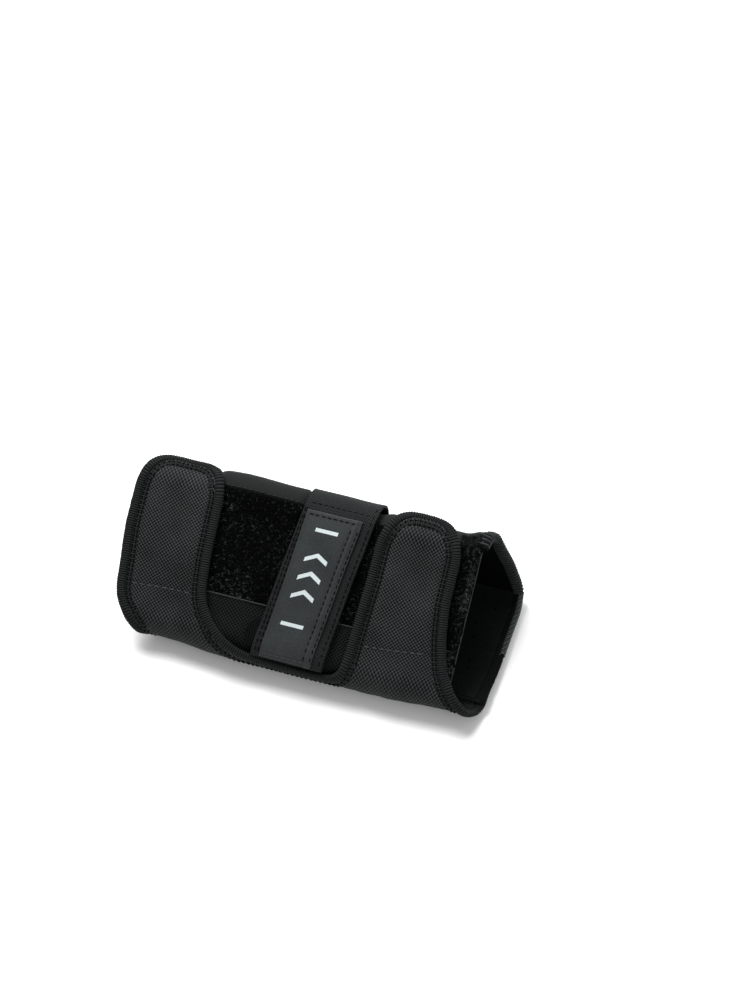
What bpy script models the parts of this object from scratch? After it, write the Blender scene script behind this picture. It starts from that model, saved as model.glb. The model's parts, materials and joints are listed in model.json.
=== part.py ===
"""Wrist guard for snowboarding and skating, left hand, closed.

The guard is a wrapped sleeve.  X runs from the hand end to the forearm end,
Y from the wrap seam to the thumb side, and Z from the palm to the back of the
hand.  Every flat pattern is laid out in two coordinates, x along the arm and
v round the sleeve, and is then bent round one cross-section.
"""
from math import acos, cos, pi, sin, sqrt, tan

import bmesh
import bpy
from mathutils import Matrix, Vector

# ---------------------------------------------------------------- sleeve section
# Corners of the section (y, z, radius), clockwise when seen from the hand end.
CORNERS = (
    (0.002, 0.000, 0.008),  # lower seam corner
    (0.007, 0.015, 0.012),  # upper seam corner, where the flaps fold
    (0.040, 0.037, 0.160),  # slight crown of the back of the hand
    (0.083, 0.060, 0.012),  # thumb-side ridge
    (0.091, 0.028, 0.060),  # thumb-side wall
    (0.087, 0.000, 0.012),  # lower thumb-side corner
)
FINE_STEP = 0.0024      # largest step round a tight corner
COARSE_STEP = 0.0060    # largest step round a slow curve

# ---------------------------------------------------------------- layer offsets
# Distances from the outer face of the neoprene, outwards.
GAP = 0.0003
NEOPRENE_T = 0.0030
LINING_T = 0.0012
DORSAL_SPLINT_T = 0.0012
LOOP_T = 0.0015
NYLON_T = 0.0012
HOOK_T = 0.0012
ELASTIC_T = 0.0015
LABEL_T = 0.0007
FLAP_MID = 0.0044
HOOK_MID = 0.0029
STRAP_MID = 0.00455
TAB_MID = 0.00455
TAB_T = 0.0022
LABEL_MID = 0.00635
BINDING_R = 0.0017
END_BINDING_R = 0.0016
EDGE_GAP = 0.0020       # binding centre line to the cloth edge

# ---------------------------------------------------------------- lengths
V_PALM_NEAR = 0.0015    # palm edge at the wrap seam, past the full turn
V_DORSAL = 0.0050       # dorsal edge at the wrap seam
V_LOOP_LOW = 0.0410
LOOP_WIDTH = 0.0560
V_LOOP_HIGH = V_LOOP_LOW + LOOP_WIDTH
V_GUSSET_LOW = 0.1580   # seam between gusset and palm
V_HINGE = 0.0240
HINGE_GAP = 0.0006
HINGE_OFFSET = 0.0058
DORSAL_HAND_X = 0.0010
DORSAL_FOREARM_X = 0.1872

HAND_FLAP_X1 = 0.0460
HAND_FLAP_TIP_V = 0.1060
FOREARM_FLAP_X0 = 0.1335
FOREARM_FLAP_X1 = 0.1750
FOREARM_FLAP_TIP_V = 0.1045
FLAP_TIP_R = 0.0170

STRAP_LOW_X = 0.0790
STRAP_HIGH_X = 0.0900
STRAP_WIDTH = 0.0395
STRAP_END_V = 0.0165
STRAP_TAB_V = 0.0290
V_STRAP_RIDGE = 0.1080
V_STRAP_HINGE = 0.1130
STRAP_HINGE_OFFSET = 0.0062
V_ANCHOR_END = 0.1460

SIDE_PANEL_V = -0.0090

THUMB_X = 0.0575
THUMB_V = 0.1315
THUMB_HALF_LENGTH = 0.0310
THUMB_HALF_WIDTH = 0.0155

POCKET_X0 = 0.0145
POCKET_X1 = 0.2070
POCKET_Y0 = 0.0280
POCKET_Y1 = 0.0755
POCKET_DEPTH = 0.0042
POCKET_WALL = 0.0012
SPLINT_T = 0.0020


# ---------------------------------------------------------------- scene
for old in list(bpy.data.objects):
    bpy.data.objects.remove(old, do_unlink=True)

parts = bpy.data.collections.new("wrist_guard")
bpy.context.scene.collection.children.link(parts)
cutters = bpy.data.collections.new("cutters")
bpy.context.scene.collection.children.link(cutters)


def empty(name, location, parent=None):
    """A plain-axes empty at a world location, under an optional parent."""
    obj = bpy.data.objects.new(name, None)
    obj.empty_display_size = 0.02
    parts.objects.link(obj)
    obj.matrix_world = Matrix.Translation(location)
    if parent is not None:
        obj.parent = parent
        obj.matrix_parent_inverse = parent.matrix_world.inverted()
    return obj


def material(name, colour, roughness, metallic=0.0):
    """A Principled material."""
    mat = bpy.data.materials.new(name)
    mat.use_nodes = True
    shader = mat.node_tree.nodes["Principled BSDF"]
    shader.inputs["Base Color"].default_value = (*colour, 1.0)
    shader.inputs["Roughness"].default_value = roughness
    shader.inputs["Metallic"].default_value = metallic
    mat.diffuse_color = (*colour, 1.0)
    return mat


# ---------------------------------------------------------------- section geometry
def unit(y, z):
    """Unit vector in the section plane."""
    size = sqrt(y * y + z * z)
    return Vector((y / size, z / size))


class Section:
    """A closed outline of straight lines and corner arcs, measured by arc length."""

    def __init__(self, corners):
        count = len(corners)
        arcs = []
        for i, (y, z, radius) in enumerate(corners):
            before = corners[i - 1]
            after = corners[(i + 1) % count]
            d_in = unit(y - before[0], z - before[1])
            d_out = unit(after[0] - y, after[1] - z)
            turn = acos(max(-1.0, min(1.0, d_in.dot(d_out))))
            cut = radius * tan(turn / 2)
            start = Vector((y, z)) - d_in * cut
            end = Vector((y, z)) + d_out * cut
            centre = start + Vector((d_in.y, -d_in.x)) * radius
            arcs.append((start, end, centre, d_in, d_out, turn, radius))
        self.pieces = []
        v = 0.0
        for i, arc in enumerate(arcs):
            length = arc[5] * arc[6]
            self.pieces.append(("arc", v, v + length, arc))
            v += length
            length = (arcs[(i + 1) % count][0] - arc[1]).length
            self.pieces.append(("line", v, v + length, arc))
            v += length
        self.length = v

    def at(self, v, offset=0.0):
        """The (y, z) point at arc length v, moved outwards by offset."""
        v = v % self.length
        for kind, low, high, arc in self.pieces:
            if v > high + 1e-9:
                continue
            start, end, centre, d_in, d_out, turn, radius = arc
            if kind == "line":
                normal = Vector((-d_out.y, d_out.x))
                return end + d_out * (v - low) + normal * offset
            angle = -(v - low) / radius
            c, s = cos(angle), sin(angle)
            heading = Vector((d_in.x * c - d_in.y * s, d_in.x * s + d_in.y * c))
            normal = Vector((-heading.y, heading.x))
            return centre + normal * (radius + offset)

    def stations(self, low, high, fine=FINE_STEP, coarse=COARSE_STEP):
        """Arc lengths from low to high, close together round the corners."""
        found = []
        for turn in (-1, 0, 1):
            shift = turn * self.length
            for kind, start, end, arc in self.pieces:
                if kind == "line":
                    continue
                step = fine if arc[6] < 0.03 else coarse
                count = max(1, round((end - start) / step))
                for i in range(count + 1):
                    found.append(shift + start + (end - start) * i / count)
        margin = 0.0006
        inside = [v for v in sorted(found) if low + margin < v < high - margin]
        return [low] + inside + [high]


SLEEVE = Section(CORNERS)


def place(x, v, offset):
    """World point of the flat-pattern point (x, v) at an offset."""
    y, z = SLEEVE.at(v, offset)
    return Vector((x, y, z))


def ramp(knots):
    """A piecewise-linear function through (position, value) knots."""

    def value(position):
        if position <= knots[0][0]:
            return knots[0][1]
        for (a, fa), (b, fb) in zip(knots, knots[1:]):
            if position <= b:
                return fa + (fb - fa) * (position - a) / (b - a)
        return knots[-1][1]

    return value


# ---------------------------------------------------------------- builders
def finish(obj, mat, parent):
    """Give an object its material and its parent, keeping its world place."""
    obj.data.materials.append(mat)
    obj.parent = parent
    obj.matrix_parent_inverse = parent.matrix_world.inverted()
    return obj


def panel(name, v_list, x_range, offset, thickness, mat, parent, columns=1, remap=None):
    """A cloth panel: a flat grid bent round the section and given a thickness."""
    rows = len(v_list) - 1
    bm = bmesh.new()
    bmesh.ops.create_grid(bm, x_segments=columns, y_segments=rows, size=0.5)
    for vert in bm.verts:
        across = vert.co.x + 0.5
        v = v_list[round((vert.co.y + 0.5) * rows)]
        if remap is not None:
            x, v = remap(across, v)
        else:
            x0, x1 = x_range(v)
            x = x0 + (x1 - x0) * across
        vert.co = place(x, v, offset(v))
    bmesh.ops.recalc_face_normals(bm, faces=bm.faces)
    mesh = bpy.data.meshes.new(name)
    bm.to_mesh(mesh)
    bm.free()
    mesh.shade_smooth()
    obj = bpy.data.objects.new(name, mesh)
    parts.objects.link(obj)
    shell = obj.modifiers.new("thickness", "SOLIDIFY")
    shell.thickness = thickness
    shell.offset = 0.0
    shell.use_even_offset = True
    return finish(obj, mat, parent)


def tube(name, points, radius, mat, parent, cyclic=False):
    """A round binding along a path of world points."""
    curve = bpy.data.curves.new(name, "CURVE")
    curve.dimensions = "3D"
    curve.bevel_depth = radius
    curve.bevel_resolution = 2
    curve.use_fill_caps = not cyclic
    spline = curve.splines.new("POLY")
    spline.points.add(len(points) - 1)
    for point, target in zip(spline.points, points):
        point.co = (*target, 1.0)
    spline.use_cyclic_u = cyclic
    obj = bpy.data.objects.new(name, curve)
    parts.objects.link(obj)
    return finish(obj, mat, parent)


def rounded_plate(name, low, high, corner, collection):
    """A plate between two opposite corners, with rounded vertical edges."""
    size = Vector(high) - Vector(low)
    bm = bmesh.new()
    bmesh.ops.create_cube(bm, size=1.0)
    bmesh.ops.scale(bm, vec=size, verts=bm.verts)
    upright = [e for e in bm.edges if abs((e.verts[0].co - e.verts[1].co).z) > size.z / 2]
    bmesh.ops.bevel(
        bm,
        geom=upright,
        offset=corner,
        offset_type="OFFSET",
        segments=5,
        profile=0.5,
        affect="EDGES",
    )
    bmesh.ops.recalc_face_normals(bm, faces=bm.faces)
    mesh = bpy.data.meshes.new(name)
    bm.to_mesh(mesh)
    bm.free()
    obj = bpy.data.objects.new(name, mesh)
    obj.location = (Vector(low) + Vector(high)) / 2
    collection.objects.link(obj)
    return obj


def cut(obj, cutter):
    """Subtract a cutter from an object."""
    cutter.hide_render = True
    cutter.display_type = "WIRE"
    boolean = obj.modifiers.new("cut", "BOOLEAN")
    boolean.operation = "DIFFERENCE"
    boolean.solver = "EXACT"
    boolean.object = cutter


# ---------------------------------------------------------------- materials
neoprene = material("neoprene", (0.016, 0.016, 0.017), 0.85)
lining = material("fleece_lining", (0.013, 0.013, 0.014), 0.95)
nylon = material("nylon_weave", (0.036, 0.037, 0.038), 0.62)
twill = material("side_twill", (0.030, 0.031, 0.032), 0.66)
loop = material("loop_pile", (0.010, 0.010, 0.011), 0.95)
hook = material("hook_tape", (0.014, 0.014, 0.015), 0.70)
binding = material("binding_tape", (0.022, 0.022, 0.023), 0.75)
elastic = material("elastic_webbing", (0.026, 0.027, 0.028), 0.70)
label = material("strap_label", (0.060, 0.062, 0.064), 0.55)
plastic = material("splint_plastic", (0.020, 0.020, 0.022), 0.40)

# ---------------------------------------------------------------- joint frames
root = empty("wrist_guard_origin", (0.0, 0.0, 0.0))
hand_hinge = empty(
    "hand_flap_hinge",
    place(HAND_FLAP_X1 / 2, V_HINGE, HINGE_OFFSET),
    root,
)
forearm_hinge = empty(
    "forearm_flap_hinge",
    place((FOREARM_FLAP_X0 + FOREARM_FLAP_X1) / 2, V_HINGE, HINGE_OFFSET),
    root,
)
strap_hinge = empty(
    "strap_hinge",
    place(STRAP_HIGH_X + STRAP_WIDTH / 2, V_STRAP_HINGE, STRAP_HINGE_OFFSET),
    root,
)

# ---------------------------------------------------------------- sleeve body
TURN = SLEEVE.length
hand_end = ramp(((0.102, 0.0), (0.118, 0.0), (0.152, 0.009), (0.205, 0.011),
                 (0.218, 0.0155), (TURN, 0.0225)))
forearm_end = ramp(((0.102, 0.190), (0.106, 0.191), (0.130, 0.2005), (0.158, 0.2115),
                    (0.170, 0.2120), (0.200, 0.2085), (TURN, 0.2055)))
INSET = END_BINDING_R + GAP


def sleeve_range(v):
    """The x range of the neoprene between its two end bindings."""
    return hand_end(v) + END_BINDING_R + INSET, forearm_end(v) - END_BINDING_R - INSET


panel(
    "palm_panel",
    SLEEVE.stations(V_GUSSET_LOW + GAP, TURN + V_PALM_NEAR),
    sleeve_range,
    lambda v: -NEOPRENE_T / 2,
    NEOPRENE_T,
    neoprene,
    root,
)
gusset = panel(
    "thumb_gusset",
    SLEEVE.stations(V_LOOP_HIGH + GAP, V_GUSSET_LOW),
    sleeve_range,
    lambda v: -NEOPRENE_T / 2,
    NEOPRENE_T,
    neoprene,
    root,
)

# Thumb hole: an elliptical punch along the normal of the thumb-side wall.
inner = place(THUMB_X, THUMB_V, -0.020)
outer = place(THUMB_X, THUMB_V, 0.020)
normal = (outer - inner).normalized()
across = Vector((1.0, 0.0, 0.0))
round_way = normal.cross(across)
bm = bmesh.new()
bmesh.ops.create_cone(bm, cap_ends=True, segments=40, radius1=1.0, radius2=1.0, depth=0.02)
frame = Matrix(
    (
        (across.x * THUMB_HALF_LENGTH, round_way.x * THUMB_HALF_WIDTH, normal.x, 0.0),
        (across.y * THUMB_HALF_LENGTH, round_way.y * THUMB_HALF_WIDTH, normal.y, 0.0),
        (across.z * THUMB_HALF_LENGTH, round_way.z * THUMB_HALF_WIDTH, normal.z, 0.0),
        (0.0, 0.0, 0.0, 1.0),
    )
)
bmesh.ops.transform(bm, matrix=frame, verts=bm.verts)
bmesh.ops.recalc_face_normals(bm, faces=bm.faces)
punch_mesh = bpy.data.meshes.new("thumb_punch")
bm.to_mesh(punch_mesh)
bm.free()
punch = bpy.data.objects.new("thumb_punch", punch_mesh)
cutters.objects.link(punch)
punch.matrix_world = Matrix.Translation(place(THUMB_X, THUMB_V, -NEOPRENE_T / 2))
punch.parent = root
cut(gusset, punch)

THUMB_RING_R = 0.0019
ring_long = THUMB_HALF_LENGTH - THUMB_RING_R - 0.0004
ring_wide = THUMB_HALF_WIDTH - THUMB_RING_R - 0.0004
ring = []
for i in range(36):
    angle = 2 * pi * i / 36
    ring.append(
        place(
            THUMB_X + ring_long * cos(angle),
            THUMB_V + ring_wide * sin(angle),
            -NEOPRENE_T / 2,
        )
    )
tube("thumb_hole_binding", ring, THUMB_RING_R, binding, root, cyclic=True)

for name, side, sign in (
    ("hand_end_binding", hand_end, 1.0),
    ("forearm_end_binding", forearm_end, -1.0),
):
    path = []
    for v in SLEEVE.stations(V_LOOP_HIGH + 0.0010, TURN + V_PALM_NEAR, 0.0045, 0.010):
        path.append(place(side(v) + sign * END_BINDING_R, v, -NEOPRENE_T / 2))
    tube(name, path, END_BINDING_R, binding, root)

# ---------------------------------------------------------------- dorsal panel
DORSAL_BINDING_R = 0.0019
DORSAL_CORE = -0.0004
dorsal_x0 = DORSAL_HAND_X + 2 * DORSAL_BINDING_R + GAP
dorsal_x1 = DORSAL_FOREARM_X - 2 * DORSAL_BINDING_R - GAP


def dorsal_range(v):
    """The x range of the dorsal layers."""
    return dorsal_x0, dorsal_x1


panel(
    "dorsal_lining",
    SLEEVE.stations(V_DORSAL, V_LOOP_HIGH),
    dorsal_range,
    lambda v: -DORSAL_SPLINT_T - GAP - LINING_T / 2,
    LINING_T,
    lining,
    root,
)
panel(
    "dorsal_splint",
    SLEEVE.stations(V_LOOP_LOW + 0.009, V_LOOP_HIGH - 0.011),
    lambda v: (0.018, 0.176),
    lambda v: -DORSAL_SPLINT_T / 2,
    DORSAL_SPLINT_T,
    plastic,
    root,
)
panel(
    "loop_panel",
    SLEEVE.stations(V_LOOP_LOW + GAP, V_LOOP_HIGH),
    dorsal_range,
    lambda v: GAP + LOOP_T / 2,
    LOOP_T,
    loop,
    root,
)
panel(
    "dorsal_nylon_band",
    SLEEVE.stations(V_DORSAL, V_LOOP_LOW),
    dorsal_range,
    lambda v: GAP + NYLON_T / 2,
    NYLON_T,
    nylon,
    root,
)
for name, x in (
    ("dorsal_hand_binding", DORSAL_HAND_X + DORSAL_BINDING_R),
    ("dorsal_edge_binding", DORSAL_FOREARM_X - DORSAL_BINDING_R),
):
    path = [
        place(x, v, DORSAL_CORE)
        for v in SLEEVE.stations(V_DORSAL, V_LOOP_HIGH - 0.0012, 0.0045, 0.010)
    ]
    tube(name, path, DORSAL_BINDING_R, binding, root)

# ---------------------------------------------------------------- palm splint
pocket = rounded_plate(
    "palm_splint_pocket",
    (POCKET_X0, POCKET_Y0, -POCKET_DEPTH),
    (POCKET_X1, POCKET_Y1, -0.0004),
    0.007,
    parts,
)
finish(pocket, twill, root)
hollow = rounded_plate(
    "pocket_hollow",
    (POCKET_X0 + 0.0025, POCKET_Y0 + 0.0025, -POCKET_DEPTH + POCKET_WALL),
    (POCKET_X1 - 0.0025, POCKET_Y1 - 0.0025, 0.004),
    0.0045,
    cutters,
)
hollow.parent = root
cut(pocket, hollow)
splint = rounded_plate(
    "palm_splint",
    (POCKET_X0 + 0.0030, POCKET_Y0 + 0.0030, -POCKET_DEPTH + POCKET_WALL + GAP),
    (POCKET_X1 - 0.0030, POCKET_Y1 - 0.0030, -0.0004),
    0.004,
    parts,
)
finish(splint, plastic, root)
pocket_edge_x = POCKET_X1 + GAP + END_BINDING_R
tube(
    "pocket_binding",
    [
        Vector((pocket_edge_x, POCKET_Y0 + 0.006, -0.0023)),
        Vector((pocket_edge_x, POCKET_Y1 - 0.006, -0.0023)),
    ],
    END_BINDING_R,
    binding,
    root,
)

# ---------------------------------------------------------------- side panel
side_offset = ramp(((-0.004, 0.0009), (0.005, 0.0036), (0.014, FLAP_MID)))
hand_side = ramp(((0.000, 0.0240), (0.006, 0.0205), (0.011, 0.0172), (0.015, 0.0138),
                  (0.019, 0.0098), (0.022, 0.0068), (0.026, 0.0040), (0.031, 0.0020),
                  (0.038, 0.0011), (0.046, 0.0006), (0.057, -0.0006), (0.067, -0.0015)))
hand_inner = ramp(((0.024, 0.0553), (0.027, 0.0526), (0.0317, 0.0493), (0.0366, 0.0469),
                   (0.042, 0.0456), (0.060, 0.0440), (0.080, 0.0434)))
forearm_inner = ramp(((0.024, 0.1313), (0.035, 0.1316), (0.047, 0.1321), (0.067, 0.1333),
                      (0.090, FOREARM_FLAP_X0)))
forearm_side = ramp(((0.000, 0.2048), (0.004, 0.2035), (0.009, 0.2003), (0.014, 0.1960),
                     (0.020, 0.1892), (0.0245, 0.1852), (0.0293, 0.1822), (0.0368, 0.1798),
                     (0.047, 0.1774), (0.0575, 0.1759), (0.065, FOREARM_FLAP_X1)))
# The dip between the flap roots, (x, v) from the hand flap to the forearm flap.
DIP = [
    (hand_inner(0.030), 0.030),
    (hand_inner(0.027), 0.027),
    (hand_inner(0.024), 0.024),
    (0.0590, 0.0213),
    (0.0640, 0.0187),
    (0.0700, 0.0166),
    (0.0770, 0.0150),
    (0.0850, 0.0143),
    (0.1000, 0.0140),
    (0.1180, 0.0138),
    (0.1240, 0.0142),
    (0.1275, 0.0156),
    (0.1298, 0.0184),
    (forearm_inner(0.024) - 0.0004, 0.024),
    (forearm_inner(0.027), 0.027),
    (forearm_inner(0.030) + 0.0002, 0.030),
]
LEFT_REACH = 0.040
RIGHT_REACH = 0.140


def edge_inset(side, v):
    """Distance in x from a slanting binding to the cloth edge beside it."""
    slope = (side(v + 0.001) - side(v - 0.001)) / 0.002
    return (EDGE_GAP + GAP) * sqrt(1.0 + slope * slope)


def moved(points, distance):
    """A left-to-right (x, v) line moved down by a distance across its own direction."""
    out = []
    for i, (x, v) in enumerate(points):
        x0, v0 = points[max(0, i - 1)]
        x1, v1 = points[min(len(points) - 1, i + 1)]
        size = sqrt((x1 - x0) ** 2 + (v1 - v0) ** 2)
        out.append((x + (v1 - v0) / size * distance, v - (x1 - x0) / size * distance))
    return out


def below(points, top):
    """The stretch of a dipping line that lies at or under v = top."""
    out = []
    for (x0, v0), (x1, v1) in zip(points, points[1:]):
        if (v0 > top) != (v1 > top):
            share = (top - v0) / (v1 - v0)
            out.append((x0 + (x1 - x0) * share, top))
        if v1 <= top:
            out.append((x1, v1))
    return out


DIP_EDGE = below(moved(DIP, EDGE_GAP + GAP), V_HINGE - HINGE_GAP)
dip_top = ramp(DIP_EDGE)


def valley(x):
    """Height v of the side panel's edge at x."""
    if DIP_EDGE[0][0] < x < DIP_EDGE[-1][0]:
        return dip_top(x)
    return V_HINGE - HINGE_GAP


def side_columns():
    """Column positions of the side panel at the hinge line."""
    left = [hand_side(V_HINGE) + edge_inset(hand_side, V_HINGE), 0.015, 0.027, LEFT_REACH]
    last = forearm_side(V_HINGE) - edge_inset(forearm_side, V_HINGE)
    return left + [x for x, v in DIP_EDGE] + [RIGHT_REACH, 0.155, 0.170, last]


SIDE_X = side_columns()
SIDE_ROWS = SLEEVE.stations(SIDE_PANEL_V, V_HINGE - HINGE_GAP)


def side_point(across, v):
    """Side panel point: rows are squeezed under the valley, ends follow the edges."""
    x = SIDE_X[round(across * (len(SIDE_X) - 1))]
    top = valley(x)
    full = V_HINGE - HINGE_GAP - SIDE_PANEL_V
    v = SIDE_PANEL_V + (v - SIDE_PANEL_V) * (top - SIDE_PANEL_V) / full
    left = max(0.0, (LEFT_REACH - x) / (LEFT_REACH - SIDE_X[0]))
    right = max(0.0, (x - RIGHT_REACH) / (SIDE_X[-1] - RIGHT_REACH))
    x += left * (hand_side(v) + edge_inset(hand_side, v) - SIDE_X[0])
    x += right * (forearm_side(v) - edge_inset(forearm_side, v) - SIDE_X[-1])
    return x, v


panel(
    "side_panel",
    SIDE_ROWS,
    None,
    side_offset,
    NYLON_T,
    twill,
    root,
    columns=len(SIDE_X) - 1,
    remap=side_point,
)

path = below(DIP, V_HINGE - 0.0012)
tube(
    "valley_binding",
    [place(x, v, side_offset(v)) for x, v in path],
    BINDING_R,
    binding,
    root,
)
for name, side in (("hand_side_binding", hand_side), ("forearm_side_binding", forearm_side)):
    path = [
        place(side(v), v, side_offset(v))
        for v in SLEEVE.stations(0.0, V_HINGE - 0.0012, 0.0030)
    ]
    tube(name, path, BINDING_R, binding, root)


# ---------------------------------------------------------------- flaps
def flap(name, left, right, tip, hinge):
    """A flap with its edge binding and hook patch, folding about its hinge."""
    base = V_HINGE + HINGE_GAP
    shoulder = tip - FLAP_TIP_R
    bend = FLAP_TIP_R - EDGE_GAP

    def cloth_range(v):
        if v > shoulder:
            inset = FLAP_TIP_R - sqrt(max(0.0, bend * bend - (v - shoulder) ** 2))
            return left(v) + inset, right(v) - inset
        return left(v) + edge_inset(left, v), right(v) - edge_inset(right, v)

    rows = SLEEVE.stations(base, shoulder)
    for i in range(1, 8):
        rows.append(shoulder + bend * sin(pi / 2 * i / 7.6))
    panel(
        name,
        rows,
        cloth_range,
        lambda v: FLAP_MID,
        NYLON_T,
        nylon,
        hinge,
    )

    edge = []
    for v in SLEEVE.stations(V_HINGE + 0.0012, shoulder, 0.0045, 0.010):
        edge.append((left(v), v))
    for i in range(1, 8):
        angle = pi / 2 * i / 7
        x = left(shoulder) + FLAP_TIP_R * (1.0 - cos(angle))
        edge.append((x, shoulder + FLAP_TIP_R * sin(angle)))
    for i in range(8):
        angle = pi / 2 * i / 7
        x = right(shoulder) - FLAP_TIP_R * (1.0 - sin(angle))
        edge.append((x, shoulder + FLAP_TIP_R * cos(angle)))
    for v in reversed(SLEEVE.stations(V_HINGE + 0.0012, shoulder, 0.0045, 0.010)[:-1]):
        edge.append((right(v), v))
    tube(
        name + "_binding",
        [place(x, v, FLAP_MID) for x, v in edge],
        BINDING_R,
        binding,
        hinge,
    )
    panel(
        name.replace("flap", "hook_patch"),
        SLEEVE.stations(V_LOOP_LOW - 0.003, V_LOOP_HIGH - 0.004),
        lambda v: (left(v) + 0.005, right(v) - 0.005),
        lambda v: HOOK_MID,
        HOOK_T,
        hook,
        hinge,
    )


flap("hand_flap", hand_side, hand_inner, HAND_FLAP_TIP_V, hand_hinge)
flap(
    "forearm_flap",
    forearm_inner,
    forearm_side,
    FOREARM_FLAP_TIP_V,
    forearm_hinge,
)

# ---------------------------------------------------------------- wrist strap
strap_slant = (STRAP_HIGH_X - STRAP_LOW_X) / (V_STRAP_RIDGE - STRAP_END_V)


def strap_range(inset):
    """The slanted x range of the strap at v, narrowed by an inset each side."""

    def limits(v):
        x = STRAP_LOW_X + strap_slant * (v - STRAP_END_V)
        return x + inset, x + STRAP_WIDTH - inset

    return limits


panel(
    "strap_elastic",
    SLEEVE.stations(STRAP_TAB_V + GAP, V_STRAP_HINGE - HINGE_GAP),
    strap_range(0.0),
    lambda v: STRAP_MID,
    ELASTIC_T,
    elastic,
    strap_hinge,
)
panel(
    "strap_tab",
    SLEEVE.stations(STRAP_END_V, STRAP_TAB_V),
    strap_range(0.0),
    lambda v: TAB_MID,
    TAB_T,
    nylon,
    strap_hinge,
)
panel(
    "strap_label",
    SLEEVE.stations(0.0182, 0.1000),
    lambda v: (strap_range(0.0)(v)[0] + 0.0048, strap_range(0.0)(v)[0] + 0.0335),
    lambda v: LABEL_MID,
    LABEL_T,
    label,
    strap_hinge,
)
panel(
    "strap_hook_patch",
    SLEEVE.stations(STRAP_TAB_V + 0.001, 0.0900),
    strap_range(0.003),
    lambda v: HOOK_MID,
    HOOK_T,
    hook,
    strap_hinge,
)
anchor_offset = ramp(
    (
        (V_STRAP_HINGE, STRAP_MID),
        (V_STRAP_HINGE + 0.004, STRAP_MID),
        (V_STRAP_HINGE + 0.016, GAP + ELASTIC_T / 2),
    )
)
panel(
    "strap_anchor",
    SLEEVE.stations(V_STRAP_HINGE + HINGE_GAP, V_ANCHOR_END),
    strap_range(0.0),
    anchor_offset,
    ELASTIC_T,
    elastic,
    root,
)

# ---------------------------------------------------------------- origin
# The whole guard is moved so that its box rests on z = 0, centred in x and y.
bpy.context.view_layer.update()
graph = bpy.context.evaluated_depsgraph_get()
points = []
for obj in parts.objects:
    if obj.type == "EMPTY":
        continue
    solid = obj.evaluated_get(graph).to_mesh()
    points.extend(obj.matrix_world @ vert.co for vert in solid.vertices)
    obj.evaluated_get(graph).to_mesh_clear()
low = Vector([min(p[i] for p in points) for i in range(3)])
high = Vector([max(p[i] for p in points) for i in range(3)])
root.location = (-(low.x + high.x) / 2, -(low.y + high.y) / 2, -low.z)
bpy.context.view_layer.update()
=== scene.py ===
"""Looks of the wrist guard: cloth layers, tapes, stitches, pile, floor, light and camera.

Every layer is laid out flat in (x, v) metres, x along the arm and v round the
sleeve, and bent round the same cross-section as the solids.
"""
import json
import math

import bpy
import numpy as np
from mathutils import Matrix, Vector


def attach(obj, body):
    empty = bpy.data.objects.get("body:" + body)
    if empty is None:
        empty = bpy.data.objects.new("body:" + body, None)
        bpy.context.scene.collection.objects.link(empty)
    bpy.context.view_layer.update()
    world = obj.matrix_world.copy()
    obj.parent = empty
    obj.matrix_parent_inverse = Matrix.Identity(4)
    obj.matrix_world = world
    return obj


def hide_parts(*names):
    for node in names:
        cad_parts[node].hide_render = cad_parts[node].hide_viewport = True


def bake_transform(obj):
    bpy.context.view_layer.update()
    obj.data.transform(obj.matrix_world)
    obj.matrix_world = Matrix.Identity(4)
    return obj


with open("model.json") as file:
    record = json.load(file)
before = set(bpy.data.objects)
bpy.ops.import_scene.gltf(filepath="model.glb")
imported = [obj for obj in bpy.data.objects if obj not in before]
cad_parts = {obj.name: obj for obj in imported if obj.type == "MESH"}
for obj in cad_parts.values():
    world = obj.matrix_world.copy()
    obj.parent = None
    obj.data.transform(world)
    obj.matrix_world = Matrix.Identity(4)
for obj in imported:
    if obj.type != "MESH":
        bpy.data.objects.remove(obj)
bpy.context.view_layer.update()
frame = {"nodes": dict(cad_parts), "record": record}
MM = 0.001

# ------------------------------------------------------------------ sleeve section
CORNERS = (
    (0.002, 0.000, 0.008),
    (0.007, 0.015, 0.012),
    (0.040, 0.037, 0.160),
    (0.083, 0.060, 0.012),
    (0.091, 0.028, 0.060),
    (0.087, 0.000, 0.012),
)
TABLE_STEP = 0.0001
SOFTEN = 0.0012         # how far a fold's start and end are eased


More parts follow.
